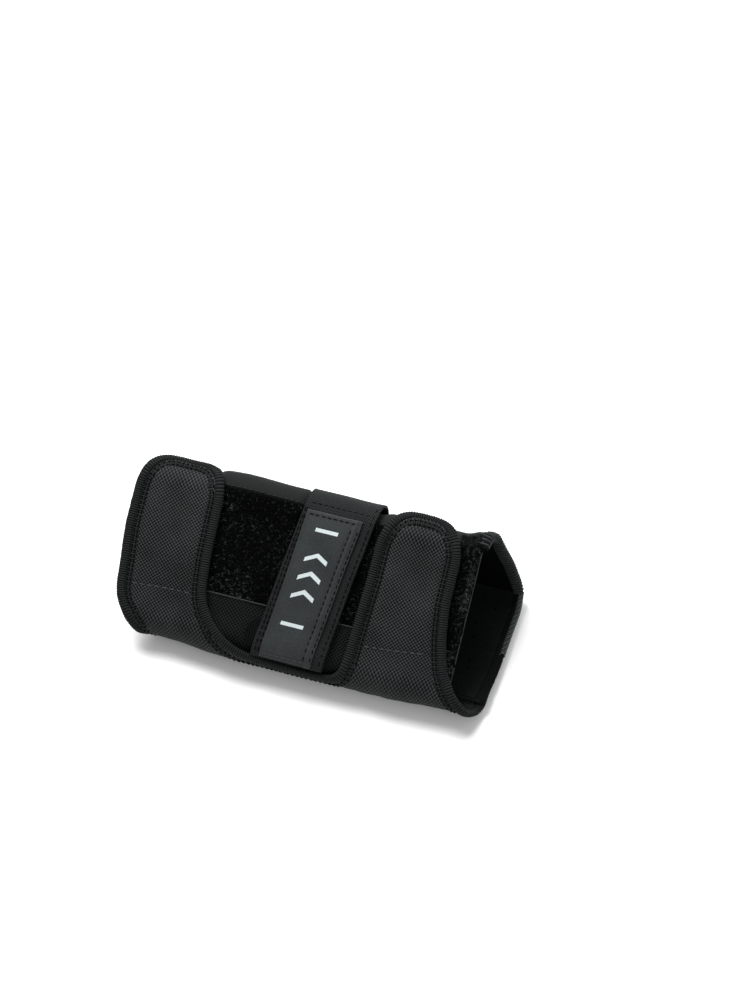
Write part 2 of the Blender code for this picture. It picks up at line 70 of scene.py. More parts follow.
def section_table():
    """Points, outward normals and length of the section, at even arc lengths."""
    count = len(CORNERS)
    arcs = []
    for i, (y, z, radius) in enumerate(CORNERS):
        before, after = CORNERS[i - 1], CORNERS[(i + 1) % count]
        here = np.array((y, z))
        d_in = here - np.array(before[:2])
        d_in /= np.linalg.norm(d_in)
        d_out = np.array(after[:2]) - here
        d_out /= np.linalg.norm(d_out)
        turn = math.acos(np.clip(d_in @ d_out, -1, 1))
        cut = radius * math.tan(turn / 2)
        start = here - d_in * cut
        centre = start + np.array((d_in[1], -d_in[0])) * radius
        arcs.append((start, here + d_out * cut, centre, d_in, d_out, turn, radius))
    pieces, v = [], 0.0
    for i, arc in enumerate(arcs):
        pieces.append(("arc", v, v + arc[5] * arc[6], arc))
        v += arc[5] * arc[6]
        length = np.linalg.norm(arcs[(i + 1) % count][0] - arc[1])
        pieces.append(("line", v, v + length, arc))
        v += length
    total = v
    n = int(round(total / TABLE_STEP))
    points = np.zeros((n, 2))
    for k, v in enumerate(np.arange(n) * total / n):
        for kind, low, high, arc in pieces:
            if v <= high:
                break
        if kind == "line":
            points[k] = arc[1] + arc[4] * (v - low)
        else:
            angle = -(v - low) / arc[6]
            c, s = math.cos(angle), math.sin(angle)
            d = arc[3]
            heading = np.array((d[0] * c - d[1] * s, d[0] * s + d[1] * c))
            points[k] = arc[2] + np.array((-heading[1], heading[0])) * arc[6]
    reach = int(4 * SOFTEN / TABLE_STEP)
    kernel = np.exp(-0.5 * (np.arange(-reach, reach + 1) * TABLE_STEP / SOFTEN) ** 2)
    kernel /= kernel.sum()
    wrapped = np.concatenate([points[-reach:], points, points[:reach]])
    soft = np.stack([np.convolve(wrapped[:, a], kernel, "valid") for a in (0, 1)], 1)
    tangent = np.roll(soft, -1, 0) - np.roll(soft, 1, 0)
    tangent /= np.linalg.norm(tangent, axis=1)[:, None]
    normal = np.stack([-tangent[:, 1], tangent[:, 0]], 1)
    return points, soft, normal, total


RAW, SOFT, NORMAL, TURN = section_table()


def along(table, v):
    """Rows of a table read at arc lengths v."""
    n = len(table)
    f = np.mod(np.asarray(v, float), TURN) / TURN * n
    i = np.floor(f).astype(int) % n
    w = (f - np.floor(f))[..., None]
    return table[i] * (1 - w) + table[(i + 1) % n] * w


JOINT = {j["name"]: np.array(j["pos_m"]) for j in frame["record"]["behaviour"]["joints"]}
V_HINGE = 0.0240
HINGE_OFFSET = 0.0058
HAND_FLAP_X1 = 0.0460
_raw_normal = along(np.stack([-np.gradient(RAW[:, 1]), np.gradient(RAW[:, 0])], 1), V_HINGE)
_raw_normal /= np.linalg.norm(_raw_normal)
_hinge = along(RAW, V_HINGE) + _raw_normal * HINGE_OFFSET
SHIFT = JOINT["hand_flap_peel"] - np.array((HAND_FLAP_X1 / 2, _hinge[0], _hinge[1]))


def smooth(a, b, t):
    """Smoothstep from 0 at a to 1 at b."""
    s = np.clip((np.asarray(t, float) - a) / (b - a), 0, 1)
    return s * s * (3 - 2 * s)


def bell(t, centre, width):
    """A smooth bump of height 1."""
    return np.exp(-(((t - centre) / width) ** 2))


def waves(x, v, wavelength, seed, count=7):
    """A smooth, unit-size ripple over the flat pattern."""
    rng = np.random.RandomState(seed)
    total = 0
    for _ in range(count):
        angle = rng.uniform(0, 2 * np.pi)
        size = wavelength * rng.uniform(0.7, 1.6)
        phase = rng.uniform(0, 2 * np.pi)
        total = total + np.sin(
            2 * np.pi * (x * np.cos(angle) + v * np.sin(angle)) / size + phase
        )
    return total / math.sqrt(count / 2) / 2


def off_palm(v):
    """1 on the back and the walls, 0 on the flat palm."""
    v = np.mod(v, TURN)
    return smooth(0.002, 0.016, v) * (1 - smooth(0.130, 0.152, v))


STRAP_W = 0.0395
STRAP_END, STRAP_TAB = 0.0165, 0.0290
STRAP_X = 0.0790
SLANT = (0.0900 - STRAP_X) / (0.1080 - STRAP_END)
V_RIDGE, V_WRAP = 0.105, 0.012      # where the thumb ridge and the wrap fold swell most


def strap_x(q):
    """The strap's hand-side edge at v."""
    return STRAP_X + SLANT * (np.asarray(q) - STRAP_END)


def bulge(x, v):
    """The soft shape that all the layers share; bare neoprene stands proud of the strap."""
    v = np.mod(v, TURN)
    past = x - strap_x(v)
    strap = smooth(-1.8 * MM, 0.6 * MM, past)
    bare = smooth(0.034, 0.042, x) * (1 - strap) + smooth(0.176, 0.184, x)
    strap = strap * (1 - smooth(STRAP_W - 1 * MM, STRAP_W + 6 * MM, past))
    ridge = 1.6 * smooth(0.020, 0.060, x) + 2.6 * bare - 1.8 * strap
    wall = smooth(0.108, 0.120, v) * (1 - smooth(0.145, 0.156, v))
    shape = 0.45 * MM * waves(x, v, 0.060, 3)
    shape = shape + ridge * MM * bell(v, V_RIDGE, 0.016)
    shape = shape + 1.2 * MM * smooth(0.020, 0.070, x) * bell(v, V_WRAP, 0.014)
    shape = shape + 0.7 * MM * waves(x, v, 0.034, 4) * wall
    low = np.mod(v + TURN / 2, TURN) - TURN / 2
    tuck = (1 - smooth(0.015, 0.075, x) + smooth(0.140, 0.200, x)) * bell(low, 0.005, 0.010)
    return shape * off_palm(v) - 2.6 * MM * tuck


def place(x, v, offset):
    """World points of flat-pattern points at an offset from the sleeve's face."""
    x, v, offset = np.broadcast_arrays(
        np.asarray(x, float), np.asarray(v, float), np.asarray(offset, float)
    )
    base, normal = along(SOFT, v), along(NORMAL, v)
    yz = base + normal * (offset + bulge(x, v))[..., None]
    return np.concatenate([x[..., None] + SHIFT[0], yz + SHIFT[1:]], -1)


# ------------------------------------------------------------------ mesh makers
UV_UNIT = 0.01          # metres of cloth to one unit of the UV map
EDGE_O = -1.4 * MM      # middle of the neoprene, where end tapes and threads are centred
TAPE_SIDES, TAPE_SQUARE = 12, 0.75
THREAD_SIDES, THREAD_SQUARE = 5, 0.55


def add_object(name, data):
    """A new object in the scene."""
    obj = bpy.data.objects.new(name, data)
    bpy.context.scene.collection.objects.link(obj)
    return obj


def flat_uv(mesh, uv):
    """Write flat-pattern points to the UV map that the materials read."""
    layer = mesh.uv_layers.new(name="flat")
    index = np.empty(len(mesh.loops), int)
    mesh.loops.foreach_get("vertex_index", index)
    layer.data.foreach_set("uv", (np.asarray(uv)[index] / UV_UNIT).astype(np.float32).ravel())


def new_mesh(name, verts, faces, uv, mat, sharp):
    """A smooth-shaded mesh object with a flat-pattern UV map."""
    mesh = bpy.data.meshes.new(name)
    mesh.from_pydata(np.asarray(verts).tolist(), [], [list(map(int, f)) for f in faces])
    flat_uv(mesh, uv)
    mesh.shade_smooth()
    mesh.set_sharp_from_angle(angle=math.radians(sharp))
    mesh.materials.append(mat)
    return add_object(name, mesh)


def steps(a, b, step=1.6 * MM, edge=(0.25 * MM, 0.7 * MM)):
    """Positions from a to b, closer together at both ends."""
    inner = np.linspace(a, b, max(2, int(round(abs(b - a) / step)) + 1))
    sign = 1 if b > a else -1
    extra = [a + sign * e for e in edge] + [b - sign * e for e in edge]
    keep = [p for p in inner[1:-1] if abs(p - a) > edge[-1] * 1.4 and abs(p - b) > edge[-1] * 1.4]
    return np.array(sorted([a, b] + extra + keep, reverse=sign < 0))


def flat_grid(v_rows, x_range, step):
    """Flat-pattern grids X and V: rows at v_rows, each from x_range(v)."""
    limits = np.array([x_range(v) for v in v_rows])
    width = (limits[:, 1] - limits[:, 0]).max()
    share = steps(0, width, step) / width
    x = limits[:, :1] + (limits[:, 1:] - limits[:, :1]) * share[None, :]
    v = np.repeat(np.asarray(v_rows)[:, None], len(share), 1)
    return x, v


def rim_distance(x, v, open_rows=(False, False)):
    """Distance in the flat pattern from each grid point to the grid's rim."""
    sides = [
        np.hypot(x - x[:, :1], v - v[:, :1]),
        np.hypot(x - x[:, -1:], v - v[:, -1:]),
    ]
    if not open_rows[0]:
        sides.append(np.hypot(x - x[:1], v - v[:1]))
    if not open_rows[1]:
        sides.append(np.hypot(x - x[-1:], v - v[-1:]))
    return np.minimum.reduce(sides)


def quads(a, b, c, d):
    """Four-cornered faces from four equal arrays of vertex numbers."""
    return np.stack([a, b, c, d], -1).reshape(-1, 4)


def cloth(name, x, v, offset, thickness, mat, open_rows=(False, False), round_to=None):
    """A closed cloth layer between two offset faces, thinning round its rim."""
    offset = np.broadcast_to(offset, x.shape)
    reach = thickness / 2 if round_to is None else round_to
    near = np.clip(rim_distance(x, v, open_rows) / reach, 0, 1)
    half = thickness / 2 * (0.25 + 0.75 * np.sqrt(1 - (1 - near) ** 2))
    top = place(x, v, offset + half)
    low = place(x, v, offset - half)
    rows, cols = x.shape
    ids = np.arange(rows * cols).reshape(rows, cols)
    back = ids + rows * cols
    faces = [
        quads(ids[:-1, :-1], ids[:-1, 1:], ids[1:, 1:], ids[1:, :-1]),
        quads(back[:-1, :-1], back[1:, :-1], back[1:, 1:], back[:-1, 1:]),
        quads(back[0, :-1], back[0, 1:], ids[0, 1:], ids[0, :-1]),
        quads(ids[-1, :-1], ids[-1, 1:], back[-1, 1:], back[-1, :-1]),
        quads(ids[:-1, 0], ids[1:, 0], back[1:, 0], back[:-1, 0]),
        quads(back[:-1, -1], back[1:, -1], ids[1:, -1], ids[:-1, -1]),
    ]
    verts = np.concatenate([top.reshape(-1, 3), low.reshape(-1, 3)])
    uv = np.stack([x.ravel(), v.ravel()], 1)
    return new_mesh(name, verts, np.concatenate(faces), np.concatenate([uv, uv]), mat, 75)


def resample(path, step, closed=False, rounding=0.0012):
    """An (x, v) path at even spacing, with its corners slightly rounded."""
    path = np.asarray(path, float)
    if closed:
        path = np.concatenate([path, path[:1]])
    length = np.concatenate([[0], np.cumsum(np.hypot(*np.diff(path, axis=0).T))])
    count = max(4, int(round(length[-1] / step)))
    s = np.linspace(0, length[-1], count + (0 if closed else 1), endpoint=not closed)
    out = np.stack([np.interp(s, length, path[:, a]) for a in (0, 1)], 1)
    reach = max(1, int(2 * rounding / step))
    kernel = np.hanning(2 * reach + 3)[1:-1]
    kernel /= kernel.sum()
    if closed:
        pad = np.concatenate([out[-reach:], out, out[:reach]])
    else:
        head = 2 * out[0] - out[1 : reach + 1][::-1]
        tail = 2 * out[-1] - out[-reach - 1 : -1][::-1]
        pad = np.concatenate([head, out, tail])
    out = np.stack([np.convolve(pad[:, a], kernel, "valid") for a in (0, 1)], 1)
    return out, s


def frames(path, offset, closed=False):
    """World centre, tangent, side and up vectors along an (x, v) path."""
    x, v = path[:, 0], path[:, 1]
    o = offset(x, v) if callable(offset) else np.full(len(x), float(offset))
    centre = place(x, v, o)
    if closed:
        tangent = np.roll(centre, -1, 0) - np.roll(centre, 1, 0)
    else:
        tangent = np.gradient(centre, axis=0)
    tangent /= np.linalg.norm(tangent, axis=1)[:, None]
    normal = np.concatenate([np.zeros((len(x), 1)), along(NORMAL, v)], 1)
    side = np.cross(tangent, normal)
    side /= np.linalg.norm(side, axis=1)[:, None]
    return centre, tangent, side, np.cross(side, tangent)


def squared(t, power):
    """A sine or cosine pushed towards a square wave."""
    return np.sign(t) * np.abs(t) ** power


def circle(sides):
    """Evenly spaced angles round a tube."""
    return 2 * np.pi * np.arange(sides) / sides


def tube(count, sides, closed=False):
    """Faces of a ring swept through count places, capped unless it closes on itself."""
    ids = np.arange(count * sides).reshape(count, sides)
    a, d = (ids, np.roll(ids, -1, 0)) if closed else (ids[:-1], ids[1:])
    faces = quads(a, d, np.roll(d, -1, 1), np.roll(a, -1, 1)).tolist()
    if not closed:
        faces += [ids[0].tolist(), ids[-1][::-1].tolist()]
    return faces


def tape(name, path, offset, half_w, half_t, mat, pitch=1.25 * MM, rib=0.16, closed=False,
         wobble=0.0):
    """A ribbed binding folded round an edge, swept along an (x, v) path."""
    path, s = resample(path, pitch / 4, closed)
    centre, _, side, up = frames(path, offset, closed)
    ribs = 0.5 - 0.5 * np.cos(2 * np.pi * s / pitch)
    noise = waves(s, s * 0, 0.004, 1) * wobble
    angle = circle(TAPE_SIDES)
    ca, sa = squared(np.cos(angle), TAPE_SQUARE), squared(np.sin(angle), TAPE_SQUARE)
    wide = half_w * (1 + 0.4 * rib * (ribs - 0.5) + noise)
    thick = half_t * (1 + rib * (ribs - 0.5) * 2 + noise)
    verts = (
        centre[:, None, :]
        + side[:, None, :] * (wide[:, None] * ca[None, :])[..., None]
        + up[:, None, :] * (thick[:, None] * sa[None, :])[..., None]
    )
    count = len(path)
    uv = np.stack([np.repeat(s, TAPE_SIDES), np.tile(angle / (2 * np.pi) * UV_UNIT, count)], 1)
    return new_mesh(name, verts.reshape(-1, 3), tube(count, TAPE_SIDES, closed), uv, mat, 85)


def stitches(name, paths, offset, mat, length=2.5 * MM, gap=0.8 * MM, radius=0.30 * MM):
    """Rows of short raised threads along (x, v) paths, as one mesh."""
    rings, sides = 5, 6
    t = np.linspace(-1, 1, rings)
    girth = np.sqrt(np.clip(1 - (0.92 * t) ** 2, 0, 1))
    bow = radius * 0.5 * (1 - t * t)
    angle = circle(sides)
    rng = np.random.RandomState(5)
    base = tube(rings, sides)
    verts, faces, uvs = [], [], []
    for path in paths:
        fine, s = resample(path, 0.25 * MM)
        centre, tangent, side, up = frames(fine, offset)
        for mid in np.arange(gap / 2 + length / 2, s[-1] - length / 2, length + gap):
            i = min(len(s) - 1, int(mid / (s[-1] / (len(s) - 1))))
            tilt = rng.uniform(-0.08, 0.08)
            direction = tangent[i] * math.cos(tilt) + side[i] * math.sin(tilt)
            across = side[i] * math.cos(tilt) - tangent[i] * math.sin(tilt)
            middle = centre[i] + direction * (t * length / 2)[:, None] + up[i] * bow[:, None]
            ring = (
                middle[:, None, :]
                + across * (girth[:, None] * np.cos(angle) * radius)[..., None]
                + up[i] * (girth[:, None] * np.sin(angle) * radius)[..., None]
            )
            start = len(verts) * rings * sides
            verts.append(ring.reshape(-1, 3))
            uvs.append(np.stack([np.repeat(mid + t * length / 2, sides),
                                 np.tile(angle * radius, rings)], 1))
            faces.extend([start + q for q in f] for f in base)
    return new_mesh(name, np.concatenate(verts), faces, np.concatenate(uvs), mat, 80)


def overlock(name, path, mat, reach, pitch, radius):
    """One thread wound round an edge along an (x, v) path."""
    fine, s = resample(path, pitch / 16)
    centre, _, side, up = frames(fine, EDGE_O)
    turn = 2 * np.pi * s / pitch
    c, u = np.cos(turn), np.sin(turn)
    around = side * c[:, None] + up * u[:, None]
    line = centre + side * (squared(c, THREAD_SQUARE) * reach[0])[:, None]
    line = line + up * (squared(u, THREAD_SQUARE) * reach[1])[:, None]
    way = np.gradient(line, axis=0)
    way /= np.linalg.norm(way, axis=1)[:, None]
    other = np.cross(way, around)
    angle = circle(THREAD_SIDES)
    ring = (
        line[:, None, :]
        + around[:, None, :] * (np.cos(angle) * radius)[None, :, None]
        + other[:, None, :] * (np.sin(angle) * radius)[None, :, None]
    )
    uv = np.stack([np.repeat(s * 3, THREAD_SIDES), np.tile(angle * radius, len(s))], 1)
    return new_mesh(name, ring.reshape(-1, 3), tube(len(s), THREAD_SIDES), uv, mat, 85)


# ------------------------------------------------------------------ materials
TINT = (0.90, 1.01, 1.02)


def principled(name, roughness, sheen=0.0, specular=0.5):
    """A material with its node tree and its shader."""
    mat = bpy.data.materials.new(name)
    mat.use_nodes = True
    shader = mat.node_tree.nodes["Principled BSDF"]
    for key, value in (("Roughness", roughness), ("Sheen Weight", sheen),
                       ("Sheen Roughness", 0.6), ("Specular IOR Level", specular)):
        shader.inputs[key].default_value = value
    return mat, mat.node_tree, shader


def cloth_material(name, dark, light, pattern, pitch, bump, roughness, grain=0.25,
                   specular=0.4, wear=0.15, span=(0.0, 1.0), sheen=0.0):
    """Textile with a pattern on the flat-pattern UV, grain and wear, between two greys."""
    pitch = pitch * MM
    mat, tree, shader = principled(name, roughness, sheen, specular)
    link = tree.links.new
    uv = tree.nodes.new("ShaderNodeUVMap")
    uv.uv_map = "flat"

    def texture(kind, **values):
        node = tree.nodes.new("ShaderNodeTex" + kind)
        for key, value in values.items():
            node.inputs[key].default_value = value
        link(uv.outputs[0], node.inputs["Vector"])
        return node.outputs[0]

    def m(op, *values):
        node = tree.nodes.new("ShaderNodeMath")
        node.operation = op
        for socket, value in zip(node.inputs, values):
            if isinstance(value, (int, float)):
                socket.default_value = value
            else:
                link(value, socket)
        return node.outputs[0]

    def wave(t):
        return m("SINE", m("MULTIPLY", t, UV_UNIT / pitch * math.pi))

    split = tree.nodes.new("ShaderNodeSeparateXYZ")
    link(uv.outputs[0], split.inputs[0])
    u, v = split.outputs[0], split.outputs[1]
    if pattern == "plain":
        height = m("MULTIPLY_ADD", m("MULTIPLY", wave(u), wave(v)), 0.5, 0.5)
    elif pattern == "rib_u":
        height = m("ABSOLUTE", wave(u))
    elif pattern == "herringbone":
        height = m("ABSOLUTE", wave(m("ADD", v, m("PINGPONG", u, 0.18))))
    elif pattern == "satin":
        height = m("MULTIPLY_ADD", wave(m("ADD", u, v)), 0.5, 0.5)
    elif pattern == "pores":
        hole = m("MULTIPLY", m("SUBTRACT", texture("Voronoi", Scale=1.7), 0.06), 9.0)
        height = m("MULTIPLY", m("MINIMUM", m("MAXIMUM", hole, 0.0), 1.0), 0.55)
    else:
        height = texture("Noise", Scale=UV_UNIT / pitch * 0.5, Detail=2.0)
    fibre = m("SUBTRACT", texture("Noise", Scale=9.0, Detail=3.0, Roughness=0.7), 0.5)
    patch = m("SUBTRACT", texture("Noise", Scale=0.35, Detail=4.0, Roughness=0.6), 0.5)
    mixed = m("ADD", height, m("MULTIPLY", fibre, grain * 2))
    ramp = tree.nodes.new("ShaderNodeValToRGB")
    for end, position, grey in zip(ramp.color_ramp.elements, span, (dark, light)):
        end.position = position
        end.color = (*(grey * t for t in TINT), 1)
    link(m("ADD", mixed, m("MULTIPLY", patch, wear * 2)), ramp.inputs[0])
    link(ramp.outputs[0], shader.inputs["Base Color"])
    link(m("MULTIPLY_ADD", patch, 0.25, roughness), shader.inputs["Roughness"])
    bumper = tree.nodes.new("ShaderNodeBump")
    bumper.inputs["Strength"].default_value = bump
    bumper.inputs["Distance"].default_value = 0.00025
    link(mixed, bumper.inputs["Height"])
    link(bumper.outputs[0], shader.inputs["Normal"])
    return mat


WEAVE = 1.03            # mm
# Name, dark and light grey, pattern, its pitch in mm, bump, roughness; then grain, specular,
# wear, where the greys start and end, and sheen, as far as they differ from the defaults.
MATERIALS = (
    ("nylon_weave", 0.0008, 0.046, "plain", WEAVE, 1.0, 0.55, 0.22, 0.07, 0.28, (0.28, 0.98)),
    # The band's weave is the nylon weave made much darker: painted shade of the recess between the
    # flaps and under the strap.
    ("band_weave", 0.0003, 0.016, "plain", WEAVE, 0.9, 0.60, 0.25, 0.05, 0.15, (0.25, 1.0)),
    ("neoprene_jersey", 0.0060, 0.0170, "satin", 0.30, 0.25, 0.80, 0.35, 0.05, 0.15, (0.0, 1.0),
     0.02),
    # Two copies of one black fleece: the first row, near-black, is painted shade inside the sleeve;
    # the second, lighter, is painted light on the palm lining seen through the end opening.
    ("fleece_lining", 0.0001, 0.0025, "pores", 0.55, 0.7, 0.95, 0.5, 0.02, 0.25),
    ("palm_fleece", 0.0003, 0.0110, "pores", 0.55, 0.7, 0.95, 0.6, 0.02, 0.3),
    ("loop_pile", 0.0002, 0.0020, "noise", 0.5, 0.9, 0.90, 0.5, 0.02),
    ("loop_threads", 0.0004, 0.105, "noise", 1.1, 0.1, 0.45, 0.9, 0.08, 0.5, (0.50, 1.15)),
    ("binding_tape", 0.0005, 0.0175, "rib_u", 1.25, 0.6, 0.62, 0.2, 0.06, 0.15, (0.15, 1.0)),
    ("binding_dark", 0.0004, 0.0075, "rib_u", 1.25, 0.5, 0.78, 0.25, 0.03),
    ("elastic_webbing", 0.0005, 0.0200, "herringbone", 1.3, 0.8, 0.68, 0.25, 0.06, 0.3),
    ("label_satin", 0.0145, 0.0420, "satin", 0.28, 0.3, 0.50, 0.6, 0.12, 0.6),
    ("hook_tape", 0.0004, 0.0130, "plain", 1.0, 1.0, 0.50, 0.3, 0.10, 0.15, (0.2, 1.0)),
    ("sewing_thread", 0.0030, 0.0480, "rib_u", 0.45, 0.4, 0.50, 0.25, 0.10),
    ("seam_thread", 0.008, 0.066, "rib_u", 0.6, 0.4, 0.50, 0.25, 0.12),
    ("overlock_thread", 0.0030, 0.0560, "noise", 0.5, 0.3, 0.60, 0.25, 0.10),
    # Stitch thread made near-black so the rows read as dark lines: dark thread plus painted shade
    # of the sunk stitch grooves.
    ("sunk_thread", 0.0002, 0.0040, "rib_u", 0.45, 0.4, 0.70, 0.25, 0.02),
    ("edge_thread", 0.020, 0.100, "rib_u", 0.7, 0.4, 0.50, 0.25, 0.15),
    ("label_print", 0.46, 0.68, "satin", 0.3, 0.3, 0.55, 0.3, 0.4, 0.2),
    ("splint_plastic", 0.006, 0.012, "noise", 0.6, 0.1, 0.40, 0.25, 0.5),
)
(
    M_NYLON, M_BAND_PAINTED_SHADE, M_NEO, M_LINING_PAINTED_SHADE, M_PALM_FLEECE_PAINTED_LIGHT, M_LOOP, M_LOOPS, M_TAPE, M_TAPE_DARK, M_ELASTIC,
    M_LABEL, M_HOOK, M_THREAD, M_SEAM, M_LOCK, M_SUNK_THREAD_PAINTED_SHADE, M_THREAD_LIGHT, M_MARK, M_PLASTIC,
) = [cloth_material(*row) for row in MATERIALS]

# ------------------------------------------------------------------ layout
V_LOOP_LOW, V_LOOP_HIGH = 0.0410, 0.0970
V_GUSSET_LOW = 0.1580
HAND_TIP, FOREARM_TIP, TIP_R = 0.1060, 0.1045, 0.0170
DORSAL_X0, DORSAL_X1 = 0.0010, 0.1872
FLAP_O = 4.4 * MM
V_SEAM = 0.0205
TAPE_W, TAPE_T, TAPE_IN = 2.5 * MM, 1.5 * MM, 0.1 * MM


def ramp(*knots):
    """Piecewise-linear function through (position, value) knots."""
    a, b = np.array(knots).T
    return lambda t: np.interp(t, a, b)


hand_end = ramp((0.102, 0.0), (0.118, 0.0), (0.152, 0.009), (0.168, 0.0110),
                (0.180, 0.0120), (0.200, 0.0127), (0.208, 0.0136), (0.218, 0.0205),
                (TURN, 0.0265))
forearm_end = ramp((0.102, 0.190), (0.106, 0.191), (0.130, 0.2005), (0.158, 0.2115),
                   (0.170, 0.2120), (0.190, 0.2105), (0.203, 0.2098), (0.211, 0.2092),
                   (TURN, 0.2066))
hand_side = ramp((0.000, 0.0240), (0.006, 0.0205), (0.011, 0.0172), (0.015, 0.0138),
                 (0.019, 0.0098), (0.022, 0.0068), (0.026, 0.0040), (0.031, 0.0020),
                 (0.038, 0.0011), (0.046, 0.0006), (0.057, -0.0006), (0.067, -0.0015))
hand_inner = ramp((0.024, 0.0553), (0.027, 0.0526), (0.0317, 0.0493), (0.0366, 0.0469),
                  (0.042, 0.0456), (0.060, 0.0440), (0.080, 0.0434))
forearm_inner = ramp((0.024, 0.1313), (0.035, 0.1316), (0.047, 0.1321), (0.067, 0.1333),
                     (0.090, 0.1335))
forearm_side = ramp((-0.008, 0.2050), (0.000, 0.2048), (0.004, 0.2035), (0.009, 0.2003),
                    (0.014, 0.1960), (0.020, 0.1892), (0.0245, 0.1852), (0.0293, 0.1822),
                    (0.0368, 0.1798), (0.047, 0.1774), (0.0575, 0.1759), (0.065, 0.1750))
# The dip between the flap roots, (x, v) from the hand flap to the forearm flap.
DIP = np.array([
    (hand_inner(0.024), 0.0240), (0.0590, 0.0213), (0.0640, 0.0187), (0.0700, 0.0166),
    (0.0770, 0.0150), (0.0850, 0.0143), (0.1000, 0.0140), (0.1180, 0.0138),
    (0.1240, 0.0142), (0.1275, 0.0156), (0.1298, 0.0184), (0.1310, 0.0240),
])
side_mid = ramp((-0.008, 0.4 * MM), (-0.004, 0.9 * MM), (0.005, 3.6 * MM), (0.014, FLAP_O))

BODY, STRAP = "sleeve", "wrist_strap"


def keep(obj, body, slot, nodes=()):
    """Ride on a body and stand for CAD nodes; the slot is not used."""
    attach(obj, body)
    if nodes:
        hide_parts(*nodes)


def trim(obj, nodes=(), body=BODY):
    """Keep a tape, a thread or rows of stitches."""
    keep(obj, body, "binding_tape", nodes)


def join(obj, nodes=()):
    """Bake a piece's transform into its mesh and stand for CAD nodes."""
    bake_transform(obj)
    if nodes:
        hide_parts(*nodes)


# ------------------------------------------------------------------ sleeve shell
EDGE_IN = 2.6 * MM      # where the cloth stops inside an end tape
NEO_O, NEO_T = -1.3 * MM, 2.6 * MM
LINING_O, LINING_T = -2.95 * MM, 0.7 * MM
FUZZ = 2.5 * MM
STITCH_O = 0.05 * MM
THUMB_X, THUMB_V = 0.0575, 0.1315
THUMB_A, THUMB_B = 0.0300, 0.0145
HOLE = math.pi * THUMB_A * THUMB_B


def sleeve_range(v):
    """x limits of the palm and thumb-side neoprene."""
    return hand_end(v) + EDGE_IN, forearm_end(v) - EDGE_IN


def lining_range(v):
    """x limits of the fleece inside them."""
    return hand_end(v) + EDGE_IN, forearm_end(v) - 5.4 * MM


def applied(obj):
    """Bake an object's modifiers into its mesh."""
    graph = bpy.context.evaluated_depsgraph_get()
    done = bpy.data.meshes.new_from_object(obj.evaluated_get(graph))
    obj.modifiers.clear()
    obj.data = done


def punch(obj):
    """Cut the thumb hole through a piece."""
    centre = place(THUMB_X, THUMB_V, -1.5 * MM)
    normal = np.append(0.0, along(NORMAL, THUMB_V))
    across = np.array((1.0, 0.0, 0.0))
    up = np.cross(normal, across)
    count, depth = 72, 0.012
    verts = []
    for way in (-depth, depth):
        for k in range(count):
            angle = 2 * math.pi * k / count
            verts.append(centre + across * THUMB_A * math.cos(angle)
                         + up * THUMB_B * math.sin(angle) + normal * way)
    faces = [list(range(count))[::-1], list(range(count, 2 * count))]
    for k in range(count):
        n = (k + 1) % count
        faces.append([k, n, n + count, k + count])
    mesh = bpy.data.meshes.new("punch")
    mesh.from_pydata([list(p) for p in verts], [], faces)
    cutter = add_object("punch", mesh)
    boolean = obj.modifiers.new("cut", "BOOLEAN")
    boolean.operation = "DIFFERENCE"
    boolean.solver = "EXACT"
    boolean.object = cutter
    applied(obj)
    bpy.data.objects.remove(cutter)


def panel(name, x, v, offset, thickness, mat, slot, nodes, held, rests_on, hole=0.0, **how):
    """A sheet of cloth on the sleeve, with the thumb hole cut out if it has an area."""
    piece = cloth(name, x, v, offset, thickness, mat, **how)
    if hole:
        punch(piece)
    keep(piece, BODY, slot, nodes)


x, v = flat_grid(steps(V_GUSSET_LOW + 0.1 * MM, TURN + 1.5 * MM, 2.4 * MM), sleeve_range, 3 * MM)
panel("palm_body", x, v, NEO_O, NEO_T, M_NEO, "neoprene", ["palm_panel"], "laid", ["palm_pocket"])
x, v = flat_grid(steps(V_LOOP_HIGH + 0.4 * MM, V_GUSSET_LOW - 0.1 * MM), sleeve_range, 2.4 * MM)
panel("thumb_body", x, v, NEO_O, NEO_T, M_NEO, "neoprene", ["thumb_gusset"], "stretched",
      ["palm_body"], HOLE)
x, v = flat_grid(steps(V_GUSSET_LOW - 0.1 * MM, TURN + 1.0 * MM, 1.2 * MM), lining_range,
                 1.3 * MM)
fuzz = waves(x, v, FUZZ, 11, 12) * 0.16 * MM
# The palm lining takes the lighter fleece copy: painted light on the floor inside the sleeve.
panel("palm_lining", x, v, LINING_O + fuzz, LINING_T, M_PALM_FLEECE_PAINTED_LIGHT, "fleece_lining", (), "laid",
      ["palm_body"])
x, v = flat_grid(steps(V_LOOP_HIGH - 1.0 * MM, V_GUSSET_LOW - 0.2 * MM, 1.4 * MM), lining_range,
                 1.6 * MM)
fuzz = waves(x, v, FUZZ, 12, 12) * 0.14 * MM
# The thumb lining takes the near-black fleece copy: painted shade inside the sleeve.
panel("thumb_lining", x, v, LINING_O + fuzz, LINING_T, M_LINING_PAINTED_SHADE, "fleece_lining", (),
      "stretched", ["thumb_body"], HOLE)

vs = np.arange(V_LOOP_HIGH + 0.6 * MM, TURN + 1.6 * MM, 1.0 * MM)
for name, end, sign, wide in (("hand_end", hand_end, 1, 1.9),
                              ("forearm_end", forearm_end, -1, 2.9)):
    path = [(end(q) + sign * wide * MM, q) for q in vs]
    trim(tape(name + "_tape", path, EDGE_O, wide * MM, 1.9 * MM, M_TAPE_DARK, rib=0.12,
              wobble=0.04), [name + "_binding"])
    inner = [(end(q) + sign * (2 * wide + 1) * MM, q) for q in vs]
    trim(stitches(name + "_stitch", [inner], STITCH_O, M_THREAD))
